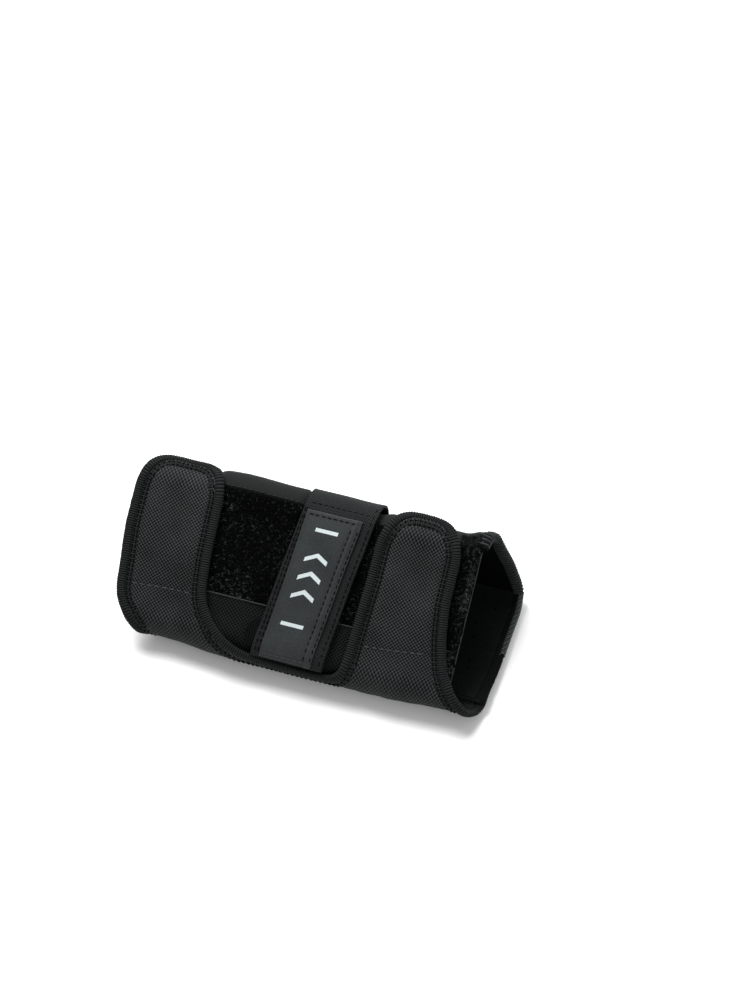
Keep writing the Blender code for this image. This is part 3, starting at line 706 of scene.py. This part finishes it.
# Overlock threads round the forearm end: heavy on the thumb wall, fine and light on the palm.
for name, inset, low, high, mat, reach, pitch, radius in (
    ("forearm_overlock", 2.7, 0.0990, 0.1592, M_LOCK, (2.6 * MM, 1.95 * MM), 2.1, 0.66),
    ("palm_overlock", 1.3, 0.1575, 0.2000, M_THREAD_LIGHT, (1.4 * MM, 1.9 * MM), 1.25, 0.42),
):
    path = [(forearm_end(q) - inset * MM, q) for q in np.arange(low, high, 0.001)]
    trim(overlock(name, path, mat, reach, pitch * MM, radius * MM))


def thumb_ring(grow, angles):
    """A path round the thumb hole."""
    return [(THUMB_X + (THUMB_A + grow) * math.cos(a), THUMB_V + (THUMB_B + grow) * math.sin(a))
            for a in angles]


ring = thumb_ring(-1.2 * MM, np.linspace(0, 2 * np.pi, 90, endpoint=False))
trim(tape("thumb_hole_tape", ring, -1.5 * MM, 2.0 * MM, 2.3 * MM, M_TAPE_DARK, closed=True,
          rib=0.12, wobble=0.05, pitch=1.2 * MM), ["thumb_hole_binding"])
ring = thumb_ring(2.6 * MM, np.linspace(0, 2 * np.pi, 91))
trim(stitches("thumb_hole_stitch", [ring], STITCH_O, M_THREAD))
seam = [(q, V_GUSSET_LOW) for q in np.arange(0.0120, 0.2060, 0.002)]
trim(tape("palm_seam", seam, STITCH_O, 1.5 * MM, 0.45 * MM, M_TAPE_DARK, rib=0.25,
          pitch=0.9 * MM))

# ------------------------------------------------------------------ dorsal panel
D_IN = 3.2 * MM
DORSAL_LOW = 0.0050     # v of the back panel's edge at the wrap fold
LOOPS_PER_M2 = 1.35e6
LOOP_THREAD = 0.10 * MM


def dorsal_hand_end(v):
    """Hand end of the back panel, cut back behind the flap's root."""
    return np.maximum(DORSAL_X0, hand_side(v) + 0.8 * MM)


def dorsal_range(v):
    """x limits of the back panel's layers."""
    return float(dorsal_hand_end(v)) + D_IN, DORSAL_X1 - D_IN


x, v = flat_grid(steps(DORSAL_LOW, V_LOOP_HIGH + 0.2 * MM), dorsal_range, 2.0 * MM)
fuzz = waves(x, v, FUZZ, 13, 12) * 0.12 * MM
# The back panel's fleece takes the near-black fleece copy: painted shade inside the sleeve.
panel("dorsal_fleece", x, v, -2.0 * MM + fuzz, 1.3 * MM, M_LINING_PAINTED_SHADE, "fleece_lining",
      ["dorsal_lining"], "stretched", ["dorsal_splint"])
x, v = flat_grid(steps(DORSAL_LOW, V_LOOP_LOW + 0.4 * MM, 1.4 * MM), dorsal_range, 2.0 * MM)
hem = -0.25 * MM * bell(v, 0.0395, 0.7 * MM)
pucker = 0.25 * MM * waves(x, v, 0.018, 21) * smooth(0.008, 0.014, v)
# The band under the loop panel takes the darkened weave: painted shade of the recess between the
# flaps.
panel("dorsal_band", x, v, 0.9 * MM + hem + pucker, 1.1 * MM, M_BAND_PAINTED_SHADE, "nylon_weave",
      ["dorsal_nylon_band"], "folded", ["dorsal_fleece"])
low_edge = [(q, V_LOOP_LOW + 0.3 * MM) for q in (DORSAL_X0 + D_IN, DORSAL_X1 - D_IN)]
trim(tape("loop_low_edge", low_edge, 1.65 * MM, 0.42 * MM, 0.35 * MM, M_THREAD, rib=0.3,
          pitch=1.6 * MM))
seam = [(q, V_LOOP_HIGH + 1.2 * MM) for q in np.arange(DORSAL_X0 + 6 * MM, 0.184, 2 * MM)]
trim(stitches("loop_high_stitch", [seam], 0.15 * MM, M_THREAD, radius=0.25 * MM))

rng = np.random.RandomState(7)
x, v = flat_grid(steps(V_LOOP_LOW + 1.0 * MM, V_LOOP_HIGH, 0.85 * MM), dorsal_range, 0.85 * MM)
rim = np.clip(rim_distance(x, v) / (1.2 * MM), 0, 1)
x = x + rng.uniform(-0.25, 0.25, x.shape) * MM * rim
v = v + rng.uniform(-0.25, 0.25, v.shape) * MM * rim
pile = rng.uniform(-0.25, 0.45, x.shape) * MM * rim
pile += waves(x, v, 6 * MM, 31) * 0.25 * MM * rim
panel("loop_base", x, v, 1.15 * MM + pile, 1.3 * MM, M_LOOP, "loop_pile", ["loop_panel"],
      "stretched", ["dorsal_splint"])


def loops(name, x0, x1, v0, v1, count, height, seed):
    """Keep a patch of small standing thread loops, scattered as one mesh."""
    rng = np.random.RandomState(seed)
    segs, sides = 5, 3
    xs, vs = rng.uniform(x0, x1, count), rng.uniform(v0, v1, count)
    foot = place(xs, vs, height)
    normal = np.concatenate([np.zeros((count, 1)), along(NORMAL, vs)], 1)
    ex = np.tile((1.0, 0.0, 0.0), (count, 1))
    ev = np.cross(normal, ex)
    turn = rng.uniform(0, 2 * np.pi, count)[:, None]
    lean = rng.uniform(-0.9, 0.9, count)[:, None]
    a = ex * np.cos(turn) + ev * np.sin(turn)
    b = np.cross(normal, a)
    rise = normal * np.cos(lean) + b * np.sin(lean)
    size = rng.uniform(0.30, 0.70, count)[:, None] * MM
    t = np.linspace(-0.15, 1.15, segs + 1) * np.pi
    centre = (
        foot[:, None, :]
        + a[:, None, :] * (np.cos(t)[None, :] * size)[..., None]
        + rise[:, None, :] * (np.sin(t)[None, :] * size * 1.1)[..., None]
    )
    outward = centre - foot[:, None, :]
    outward /= np.linalg.norm(outward, axis=2)[..., None] + 1e-9
    third = np.cross(a, rise)[:, None, :]
    angle = circle(sides)
    ring = (
        centre[:, :, None, :]
        + outward[:, :, None, :] * (np.cos(angle) * LOOP_THREAD)[None, None, :, None]
        + third[:, :, None, :] * (np.sin(angle) * LOOP_THREAD)[None, None, :, None]
    )
    ids = np.arange(count * (segs + 1) * sides).reshape(count, segs + 1, sides)
    p, q = ids[:, :-1, :], ids[:, 1:, :]
    caps = np.concatenate([ids[:, 0, ::-1], ids[:, -1, :]])
    faces = quads(p, np.roll(p, -1, 2), np.roll(q, -1, 2), q).tolist() + caps.tolist()
    uv = np.stack([np.repeat(xs, (segs + 1) * sides), np.repeat(vs, (segs + 1) * sides)], 1)
    keep(new_mesh(name, ring.reshape(-1, 3), faces, uv, M_LOOPS, 180), BODY, "loop_pile")


LOOP_BANDS = (("hand", DORSAL_X0 + 5 * MM, 0.060), ("mid", 0.060, 0.120),
              ("forearm", 0.120, DORSAL_X1 - 3 * MM))
for k, (name, x0, x1) in enumerate(LOOP_BANDS):
    count = int((x1 - x0) * (V_LOOP_HIGH - V_LOOP_LOW) * LOOPS_PER_M2)
    loops("loop_pile_" + name, x0, x1, V_LOOP_LOW + 1.2 * MM, V_LOOP_HIGH - 0.6 * MM, count,
          1.7 * MM, 41 + k)

vs = np.linspace(0.0052, V_LOOP_HIGH + 1.0 * MM, 60)
for name, at, node, mat in (
    ("dorsal_hand_tape", dorsal_hand_end(vs) + 1.9 * MM, "dorsal_hand_binding", M_TAPE_DARK),
    ("dorsal_forearm_tape", vs * 0 + DORSAL_X1 - 2.1 * MM, "dorsal_edge_binding", M_LOOP),
):
    trim(tape(name, np.stack([at, vs], 1), -0.3 * MM, 2.1 * MM, 2.1 * MM, mat, rib=0.05,
              wobble=0.12, pitch=1.7 * MM), [node])
loops("dorsal_edge_fuzz", DORSAL_X1 - 4.4 * MM, DORSAL_X1 - 0.9 * MM, 0.0080, V_LOOP_HIGH, 1500,
      1.75 * MM, 51)
loops("ridge_fuzz", 0.1745, 0.1865, V_LOOP_HIGH, 0.1040, 420, 0.25 * MM, 52)
edge = [(DORSAL_X1 - 0.3 * MM, q) for q in (0.0060, V_LOOP_HIGH)]
trim(tape("dorsal_forearm_cord", edge, 0.7 * MM, 0.45 * MM, 0.45 * MM, M_THREAD, rib=0.25,
          pitch=1.2 * MM))

# ------------------------------------------------------------------ palm pocket
POCKET = (0.0145, 0.2070, 0.0280, 0.0755)      # x from and to, section y from and to
POCKET_R = 7 * MM
SEWN_IN = 6.5 * MM      # the stitch row's distance from the pocket's rim
SWELL_FRAMES = 20
PALM_V = 0.200          # an arc length on the flat part of the palm


def palm_v(y):
    """Arc length of the flat palm at section coordinate y."""
    return PALM_V - (y - along(RAW, PALM_V)[0])


v_a, v_b = palm_v(POCKET[3]), palm_v(POCKET[2])


def pocket_range(q):
    """x limits of the pocket, with rounded corners."""
    depth = max(0.0, POCKET_R - min(q - v_a, v_b - q))
    corner = POCKET_R - math.sqrt(max(0.0, POCKET_R**2 - depth**2))
    return POCKET[0] + corner, POCKET[1] - corner


near = v_a + POCKET_R * (1 - np.cos(np.linspace(0.15, np.pi / 2, 12)))
v_rows = np.concatenate([near, np.arange(near[-1] + 1.6 * MM, v_b - POCKET_R - 1 * MM, 1.6 * MM),
                         (v_a + v_b - near)[::-1]])
x, v = flat_grid(v_rows, pocket_range, 2.0 * MM)
d = rim_distance(x, v)
deep = 1.4 * MM + 2.2 * MM * smooth(0.0, 4.0 * MM, d)
pocket = cloth("palm_pocket", x, v, deep / 2 + 0.1 * MM, deep, M_NYLON, round_to=1.6 * MM)
palm_z = float(place(0.1, 0.5 * (v_a + v_b), 0.0)[2])


def vertices(obj):
    """An object's vertex positions as an array."""
    out = np.empty(len(obj.data.vertices) * 3)
    obj.data.vertices.foreach_get("co", out)
    return out.reshape(-1, 3)


def inflate(obj, voxel, pressure, cap):
    """Swell the pad with Blender's Cloth, held along the palm and kept above the floor."""
    remesh = obj.modifiers.new("even", "REMESH")
    remesh.mode = "VOXEL"
    remesh.voxel_size = voxel
    applied(obj)
    start = vertices(obj)
    held = np.nonzero(start[:, 2] > palm_z - 0.7 * MM)[0]
    obj.vertex_groups.new(name="held").add(held.tolist(), 1.0, "REPLACE")
    sim = obj.modifiers.new("swell", "CLOTH")
    sim.settings.effector_weights.gravity = 0
    sim.settings.use_pressure = True
    sim.settings.uniform_pressure_force = pressure
    sim.settings.vertex_group_mass = "held"
    sim.collision_settings.use_collision = False
    for step in range(1, SWELL_FRAMES + 1):
        bpy.context.scene.frame_set(step)
    applied(obj)
    move = vertices(obj) - start
    bpy.context.scene.frame_set(1)
    size = np.linalg.norm(move, axis=1)[:, None]
    end = start + move * np.minimum(1, cap / np.maximum(size, 1e-9))
    # Sewn channel along the stitch row, then the floor under the pad.
    at_x, at_v = end[:, 0] - SHIFT[0], palm_v(end[:, 1] - SHIFT[1])
    rim = np.minimum.reduce([at_x - POCKET[0], POCKET[1] - at_x, at_v - v_a, v_b - at_v])
    sewn = 0.9 * MM * bell(rim, SEWN_IN, 1.3 * MM)
    end[:, 2] += np.where(end[:, 2] < palm_z - 1.5 * MM, sewn, 0)
    end[:, 2] = np.maximum(end[:, 2], 0.1 * MM)
    obj.data.vertices.foreach_set("co", end.ravel())
    obj.modifiers.new("fine", "SUBSURF").levels = 1
    applied(obj)
    points = vertices(obj)
    flat_uv(obj.data, np.stack([points[:, 0] - SHIFT[0], palm_v(points[:, 1] - SHIFT[1])], 1))
    obj.data.materials.clear()
    obj.data.materials.append(M_NYLON)
    obj.data.shade_smooth()


inflate(pocket, 1.7 * MM, 4.0, 1.2 * MM)
keep(pocket, BODY, "side_twill", ["palm_splint_pocket"])
box = [(x, v) for v in (v_a + SEWN_IN, v_b - SEWN_IN)
       for x in (POCKET[0] + SEWN_IN, POCKET[1] - SEWN_IN)]
box = [box[k] for k in (0, 1, 3, 2, 0)]
trim(stitches("pocket_stitch", [box], 3.35 * MM, M_THREAD))
edge = [(POCKET[1] - 1.6 * MM, q) for q in (v_a + 7 * MM, v_b - 9 * MM)]
trim(tape("pocket_tape", edge, 2.3 * MM, 1.5 * MM, 1.7 * MM, M_TAPE, rib=0.15),
     ["pocket_binding"])

# ------------------------------------------------------------------ side panel


def offset_line(line, distance):
    """An (x, v) line moved to its right-hand side by a distance."""
    line = np.asarray(line, float)
    way = np.gradient(line, axis=0)
    way /= np.hypot(way[:, 0], way[:, 1])[:, None]
    return line + np.stack([way[:, 1], -way[:, 0]], 1) * distance


def edge_inset(side, q, distance):
    """Distance in x from a slanting edge line to a parallel one."""
    slope = (side(q + 0.001) - side(q - 0.001)) / 0.002
    return distance * np.sqrt(1 + slope**2)


SIDE_LOW = -0.0090
HEM = 1.4 * MM
SIDE_T = 1.2 * MM
root_line = [(hand_inner(q), q) for q in (0.032, 0.030, 0.028, 0.026)]
root_line += DIP.tolist() + [(forearm_inner(q) + 0.0001, q) for q in (0.027, 0.030)]
dense, _ = resample(root_line, 0.5 * MM, rounding=2.5 * MM)
dip_edge = offset_line(dense, HEM)
dip_edge = dip_edge[dip_edge[:, 1] < V_SEAM]
dip_x = np.linspace(dip_edge[0, 0], dip_edge[-1, 0], 70)
cols = np.concatenate([
    np.linspace(hand_side(V_SEAM) + edge_inset(hand_side, V_SEAM, HEM), dip_x[0] - 1 * MM, 34),
    dip_x,
    np.linspace(dip_x[-1] + 1 * MM, forearm_side(V_SEAM) - edge_inset(forearm_side, V_SEAM, HEM),
                40),
])
share = steps(0, 1, 1 / 26, (0.01, 0.03))
top = np.interp(cols, dip_edge[:, 0], dip_edge[:, 1], left=V_SEAM, right=V_SEAM)
V = SIDE_LOW + share[:, None] * (top - SIDE_LOW)[None, :]
X = np.repeat(cols[None, :], len(share), 0)
left = np.clip((0.040 - X) / (0.040 - cols[0]), 0, 1)
right = np.clip((X - 0.140) / (cols[-1] - 0.140), 0, 1)
X = (
    X
    + left * (hand_side(V) + edge_inset(hand_side, V, HEM) - cols[0])
    + right * (forearm_side(V) - edge_inset(forearm_side, V, HEM) - cols[-1])
)
side_o = side_mid(V) + 0.18 * MM * waves(X, V, 0.014, 51) * smooth(0.0, 0.008, V)
panel("side_cloth", X, V, side_o, SIDE_T, M_NYLON, "side_twill", ["side_panel"], "folded",
      ["palm_body"], open_rows=(False, True), round_to=0.4 * MM)


# ------------------------------------------------------------------ flaps
hook_low = ramp((0.010, 0.0362), (0.024, 0.0375), (0.040, 0.0381), (0.138, 0.0331),
                (0.150, 0.0343), (0.163, 0.0359), (0.174, 0.0374))


def hooks(name, v_ends, x_range, body, node):
    """Keep a patch of hook tape, with alternating teeth."""
    x, v = flat_grid(steps(*v_ends, 1.0 * MM), x_range, 1.0 * MM)
    i, j = np.indices(x.shape)
    teeth = np.where((i + j) % 2 == 0, -0.35, 0.15) * MM
    keep(cloth(name, x, v, 3.0 * MM + teeth, 0.9 * MM, M_HOOK), body, "hook_tape", [node])


def flap(tag, left, right, tip, body, extra_nodes):
    """One flap: cloth, edge tape down to the palm and the valley, stitches, hooks."""
    shoulder = tip - TIP_R
    start = place(0.1, V_SEAM + 0.3 * MM, FLAP_O)
    end = place(0.1, 0.0290, FLAP_O)

    def span(q, inset):
        if q > shoulder:
            reach = TIP_R - inset
            corner = TIP_R - math.sqrt(max(0.0, reach**2 - (q - shoulder) ** 2))
            return left(q) + corner, right(q) - corner
        return left(q) + edge_inset(left, q, inset), right(q) - edge_inset(right, q, inset)

    top = shoulder + (TIP_R - HEM) * np.sin(np.linspace(0.05, np.pi / 2 * 0.985, 20))
    v_rows = np.concatenate([np.arange(V_SEAM, shoulder, 1.0 * MM), top])
    x, v = flat_grid(v_rows, lambda q: span(q, HEM), 1.0 * MM)
    edge_left = x - np.array([span(q, 0)[0] for q in v_rows])[:, None]
    edge_right = np.array([span(q, 0)[1] for q in v_rows])[:, None] - x
    d = np.minimum(np.minimum(edge_left, edge_right), np.where(v > shoulder, tip - v, 1.0))
    # Two sunk stitch rows with a rise between them, a padded middle, the line of the hooks.
    groove = -0.30 * MM * bell(d, 3.5 * MM, 0.5 * MM)
    groove = groove - 0.30 * MM * bell(d, 5.1 * MM, 0.5 * MM)
    groove = groove + 0.20 * MM * bell(d, 4.3 * MM, 0.5 * MM)
    pad = 0.45 * MM * smooth(5.3 * MM, 9.0 * MM, d)
    hook_line = -0.22 * MM * bell(v, hook_low(x), 0.7 * MM)
    crease = 0.16 * MM * waves(x, v, 0.016, 61 + int(tip * 1000)) * smooth(5 * MM, 9 * MM, d)
    o = FLAP_O + groove + pad * smooth(0.030, 0.045, v) + hook_line + crease
    o = np.where(v < 0.022, FLAP_O + (o - FLAP_O) * smooth(V_SEAM, 0.022, v), o)
    piece = cloth(tag + "_flap_cloth", x, v, o, SIDE_T, M_NYLON, open_rows=(True, False),
                  round_to=0.4 * MM)
    join(piece, [tag + "_flap"])

    heights = np.arange(0.0, shoulder, 1 * MM)
    under = (-0.006, -0.004, -0.002)
    arc = np.linspace(0, np.pi / 2, 18)
    tip_left = [(left(shoulder) + TIP_R * (1 - math.cos(a)), shoulder + TIP_R * math.sin(a))
                for a in arc]
    tip_right = [(right(shoulder) - TIP_R * (1 - math.sin(a)), shoulder + TIP_R * math.cos(a))
                 for a in arc]
    dip = [tuple(p) for p in DIP]
    if tag == "hand":
        line = [(left(k), k) for k in under] + [(left(k), k) for k in heights]
        line += tip_left + tip_right
        line += [(right(k), k) for k in heights[::-1] if k > 0.0245]
        line += [p for p in dip if p[0] < 0.1050]
    else:
        line = [(0.0990, 0.0140)] + [p for p in dip if p[0] > 0.1050]
        line += [(left(k), k) for k in heights if k > 0.0245] + tip_left + tip_right
        line += [(right(k), k) for k in heights[::-1]]
        line += [(right(k), k) for k in under[::-1]]
    line, _ = resample(line, 0.6 * MM, rounding=2.5 * MM)

    piece = tape(tag + "_edge_tape", offset_line(line, TAPE_IN), lambda a, b: side_mid(b),
                 TAPE_W, TAPE_T, M_TAPE, rib=0.17, wobble=0.02)
    join(piece, [tag + "_flap_binding", *extra_nodes])
    piece = tape(tag + "_tape_flat", offset_line(line, 4.1 * MM),
                 lambda a, b: side_mid(b) + 0.35 * MM, 1.9 * MM, 0.42 * MM, M_TAPE, rib=0.25)
    join(piece)
    # The edge stitch rows use the near-black thread: painted shade of the sunk stitch grooves.
    piece = stitches(tag + "_edge_stitch", [offset_line(line, g) for g in (3.3 * MM, 5.0 * MM)],
                     lambda a, b: side_mid(b) + 0.70 * MM, M_SUNK_THREAD_PAINTED_SHADE, radius=0.42 * MM,
                     length=2.0 * MM, gap=0.6 * MM)
    join(piece)
    ends = float(left(0.037)) + 6 * MM, float(right(0.037)) - 6 * MM
    hook_row = [(q, float(hook_low(q))) for q in np.linspace(*ends, 12)]
    trim(stitches(tag + "_hook_stitch", [hook_row], FLAP_O + 0.50 * MM, M_SEAM,
                  length=3.2 * MM, gap=0.9 * MM, radius=0.40 * MM), body=body)
    hooks(tag + "_hooks", (V_LOOP_LOW - 3 * MM, V_LOOP_HIGH - 4 * MM),
          lambda q: (float(left(q)) + 5 * MM, float(right(q)) - 5 * MM), body,
          tag + "_hook_patch")


flap("hand", hand_side, hand_inner, HAND_TIP, "hand_closure",
     ["hand_side_binding", "valley_binding"])
flap("forearm", forearm_inner, forearm_side, FOREARM_TIP, "forearm_closure",
     ["forearm_side_binding"])

# ------------------------------------------------------------------ strap
V_STRAP_HINGE = 0.1130
STRAP_O = 4.55 * MM     # the strap's middle above the sleeve's face
CURL_V, CURL_OUT = 0.0270, 6.5 * MM
LABEL_V = (STRAP_END + 1.2 * MM, 0.0955)
LABEL_X = (4.8 * MM, 33.4 * MM)
LABEL_O = 6.20 * MM
LABEL_SEAM = 28.6 * MM


def strap_range(inset):
    """x limits of a strip along the strap."""
    return lambda q: (strap_x(q) + inset, strap_x(q) + STRAP_W - inset)


strap_o = ramp((0.0, STRAP_O), (V_STRAP_HINGE + 4 * MM, STRAP_O),
               (V_STRAP_HINGE + 16 * MM, 1.05 * MM))
x, v = flat_grid(steps(STRAP_TAB - 2 * MM, 0.1460, 1.1 * MM), strap_range(0.0), 1.1 * MM)
ripple = 0.12 * MM * waves(x, v, 0.020, 71)
piece = cloth("strap_web", x, v, strap_o(v) + ripple, 1.5 * MM, M_ELASTIC, round_to=0.6 * MM)
s0 = place(0.11, 0.1175, STRAP_O)
join(piece,
     ["strap_elastic", "strap_anchor"])

x, v = flat_grid(steps(STRAP_END, STRAP_TAB, 1.0 * MM), strap_range(-0.2 * MM), 1.1 * MM)
sewn = -0.25 * MM * bell(rim_distance(x, v), 3.0 * MM, 0.5 * MM)
keep(cloth("strap_end", x, v, STRAP_O + sewn, 2.1 * MM, M_ELASTIC, round_to=0.9 * MM), STRAP,
     "nylon_weave", ["strap_tab"])

# The elastic's inner layer flares out beside the end and curls up.


def curl_range(q):
    """x limits of the curled corner at v."""
    bow = CURL_OUT * math.sqrt(max(0.0, 1 - ((q - CURL_V) / 0.0077) ** 2))
    return float(strap_x(q)) - bow, float(strap_x(q)) + 4 * MM


curl_rows = CURL_V + 7.5 * MM * np.sin(np.linspace(-1.45, 1.45, 24))
x, v = flat_grid(curl_rows, curl_range, 0.8 * MM)
out = np.clip((strap_x(v) - x) / CURL_OUT, 0, 1)
keep(cloth("strap_corner", x, v, 2.7 * MM + 2.4 * MM * out**2, 1.3 * MM, M_TAPE_DARK,
           round_to=0.6 * MM), STRAP, "elastic_webbing")

label_left = ramp((LABEL_V[0], LABEL_X[0]), (0.060, 4.3 * MM), (LABEL_V[1], 2.6 * MM))


def label_range(q):
    """x limits of the label at v."""
    return strap_x(q) + label_left(q), strap_x(q) + LABEL_X[1]


x, v = flat_grid(steps(*LABEL_V, 0.9 * MM), label_range, 0.8 * MM)
d = rim_distance(x, v)
across = x - strap_x(v)
sewn = -0.20 * MM * bell(d, 1.6 * MM, 0.45 * MM)
sewn = sewn - 0.28 * MM * bell(across, LABEL_SEAM, 0.5 * MM)
sewn = sewn + 0.35 * MM * bell(across, 30.6 * MM, 1.1 * MM)
crown = 0.35 * MM * smooth(2.2 * MM, 7 * MM, d) + 0.1 * MM * waves(x, v, 0.012, 81)
keep(cloth("strap_badge", x, v, LABEL_O + sewn + crown, 0.8 * MM, M_LABEL, round_to=0.35 * MM),
     STRAP, "strap_label", ["strap_label"])


def strap_line(inset, a, b):
    """A line along the strap at an inset from its hand-side edge."""
    return [(strap_x(q) + inset, q) for q in np.linspace(a, b, 40)]


def strap_cross(q, a, b):
    """A line across the strap at v = q."""
    return [(strap_x(q) + a, q), (strap_x(q) + b, q)]


low_v, high_v = LABEL_V[0] + 1.6 * MM, LABEL_V[1] - 1.6 * MM
paths = [strap_line(LABEL_SEAM, low_v, high_v), strap_line(32.3 * MM, low_v, high_v),
         strap_cross(high_v, 4 * MM, 32 * MM)]
# The label's stitch rows use the near-black thread: painted shade of the sunk stitch grooves.
trim(stitches("badge_stitch", paths, 6.58 * MM, M_SUNK_THREAD_PAINTED_SHADE, radius=0.28 * MM), body=STRAP)
end_row = strap_cross(low_v, LABEL_X[0] + 1.6 * MM, 32 * MM)
trim(stitches("badge_end_stitch", [end_row], 6.62 * MM, M_SEAM), body=STRAP)
paths = [[(strap_x(q) + share * label_left(q), q) for q in np.linspace(STRAP_END + 2 * MM, 0.1, 40)]
         for share in (0.38, 0.78)]
paths.append(strap_line(STRAP_W - 2.0 * MM, STRAP_END + 2 * MM, 0.1040))
# The strap's stitch rows use the near-black thread: painted shade of the sunk stitch grooves.
trim(stitches("strap_stitch", paths, lambda p, q: np.where(q < STRAP_TAB, 5.50, 5.25) * MM,
              M_SUNK_THREAD_PAINTED_SHADE, radius=0.32 * MM), body=STRAP)
top, *anchor = [strap_cross(q, 3 * MM, STRAP_W - 3 * MM) for q in (0.0988, 0.1400, 0.1430)]
# The strap's top stitch row uses the near-black thread: painted shade of the sunk stitch groove.
trim(stitches("strap_top_stitch", [top], 5.25 * MM, M_SUNK_THREAD_PAINTED_SHADE), body=STRAP)
trim(stitches("strap_anchor_stitch", anchor, 1.75 * MM, M_THREAD))
hooks("strap_hooks", (STRAP_TAB + 1 * MM, 0.0900), strap_range(3 * MM), STRAP,
      "strap_hook_patch")

# A plain mark on the label: three chevrons between two bars.
mark_verts, mark_faces, mark_uv = [], [], []


def mark(points, v_shift):
    """A raised flat shape from a quad strip of (across, along) points on the label."""
    start = len(mark_verts)
    for across_at, along_at in points:
        q = v_shift + along_at
        p = strap_x(q) + 16.8 * MM + across_at
        for height in (7.02 * MM, 6.85 * MM):
            mark_verts.append(place(p, q, height + 0.1 * MM * waves(p, q, 0.012, 81)))
            mark_uv.append((p, q))
    n = len(points) // 2
    for k in range(n - 1):
        a0, a1 = start + 4 * k, start + 4 * k + 2
        b0, b1 = a0 + 4, a1 + 4
        mark_faces.extend([[a0, a1, b1, b0], [a0 + 1, b0 + 1, b1 + 1, a1 + 1],
                           [a0, b0, b0 + 1, a0 + 1], [a1, a1 + 1, b1 + 1, b1]])
    s, e = start, start + 4 * (n - 1)
    mark_faces.append([s, s + 1, s + 3, s + 2])
    mark_faces.append([e, e + 2, e + 3, e + 1])


for centres, half, peak, wide in (((0.049, 0.059, 0.069), 6, 3.4, 2.4),
                                  ((0.034, 0.086), 4, 0.0, 2.0)):
    for centre in centres:
        strip = []
        for k in range(2 * half + 1):
            t = -1 + k / half
            rise = peak * MM * (1 - abs(t))
            strip += [(t * 6.2 * MM, rise), (t * 6.2 * MM, rise + wide * MM)]
        mark(strip, centre)
piece = new_mesh("badge_mark", np.array(mark_verts), mark_faces, np.array(mark_uv), M_MARK, 40)
keep(piece, STRAP, "strap_label")

# ------------------------------------------------------------------ kept CAD nodes
for node in ("dorsal_splint", "palm_splint"):
    for slot in frame["nodes"][node].material_slots:
        slot.material = M_PLASTIC

# ------------------------------------------------------------------ camera
PIXELS = 1.85e3         # image pixels for a metre at the guard
IMAGE_W, IMAGE_H = 750, 1000
SENSOR = 36.0
DISTANCE = 1.10
AIM = Vector(np.array((0.105, 0.042, 0.028)) + SHIFT)     # lands on pixel (AIM_U, AIM_V)
AIM_U, AIM_V = 318, 589
az, el = math.radians(16.1), math.radians(60.0)
back = Vector((math.sin(az) * math.cos(el), -math.cos(az) * math.cos(el), math.sin(el)))
right = Vector((math.cos(az), math.sin(az), 0.0))
up = back.cross(right)
lens = bpy.data.cameras.new("camera")
lens.sensor_width = SENSOR
lens.lens = SENSOR * PIXELS * DISTANCE / IMAGE_H
lens.clip_start, lens.clip_end = 0.05, 20.0
camera = add_object("camera", lens)
eye = AIM + back * DISTANCE
look = AIM + right * ((IMAGE_W / 2 - AIM_U) / PIXELS) + up * ((AIM_V - IMAGE_H / 2) / PIXELS)
turn = (-back).rotation_difference((look - eye).normalized()).to_matrix()
pose = turn @ Matrix((right, up, back)).transposed()
camera.matrix_world = Matrix.Translation(eye) @ pose.to_4x4()
bpy.context.scene.camera = camera

# ------------------------------------------------------------------ floor and light
bpy.ops.mesh.primitive_plane_add(size=6.0, location=(0, 0, -0.0002))
floor = bpy.context.object
floor.name = "floor"
mat, _, shader = principled("floor_paper", 0.9)
shader.inputs["Base Color"].default_value = (0.93, 0.93, 0.93, 1)
floor.data.materials.append(mat)

for name, location, target, size, power in (
    ("key", (-0.60, 0.55, 1.30), (0, 0, 0), 0.7, 32),
    ("fill", (0.9, -0.9, 0.9), (0, 0, 0), 1.2, 5),
    ("rim", (0.1, 1.3, 0.7), (0, 0, 0.03), 0.8, 9),
):
    data = bpy.data.lights.new(name, "AREA")
    data.size, data.energy = size, power
    lamp = add_object(name, data)
    lamp.location = location
    lamp.rotation_mode = "QUATERNION"
    lamp.rotation_quaternion = (Vector(target) - Vector(location)).to_track_quat("-Z", "Y")

world = bpy.data.worlds.new("studio")
bpy.context.scene.world = world
world.use_nodes = True
background = world.node_tree.nodes["Background"]
background.inputs[0].default_value = (1, 1, 1, 1)
background.inputs[1].default_value = 0.45
bpy.context.scene.view_settings.view_transform = "Standard"
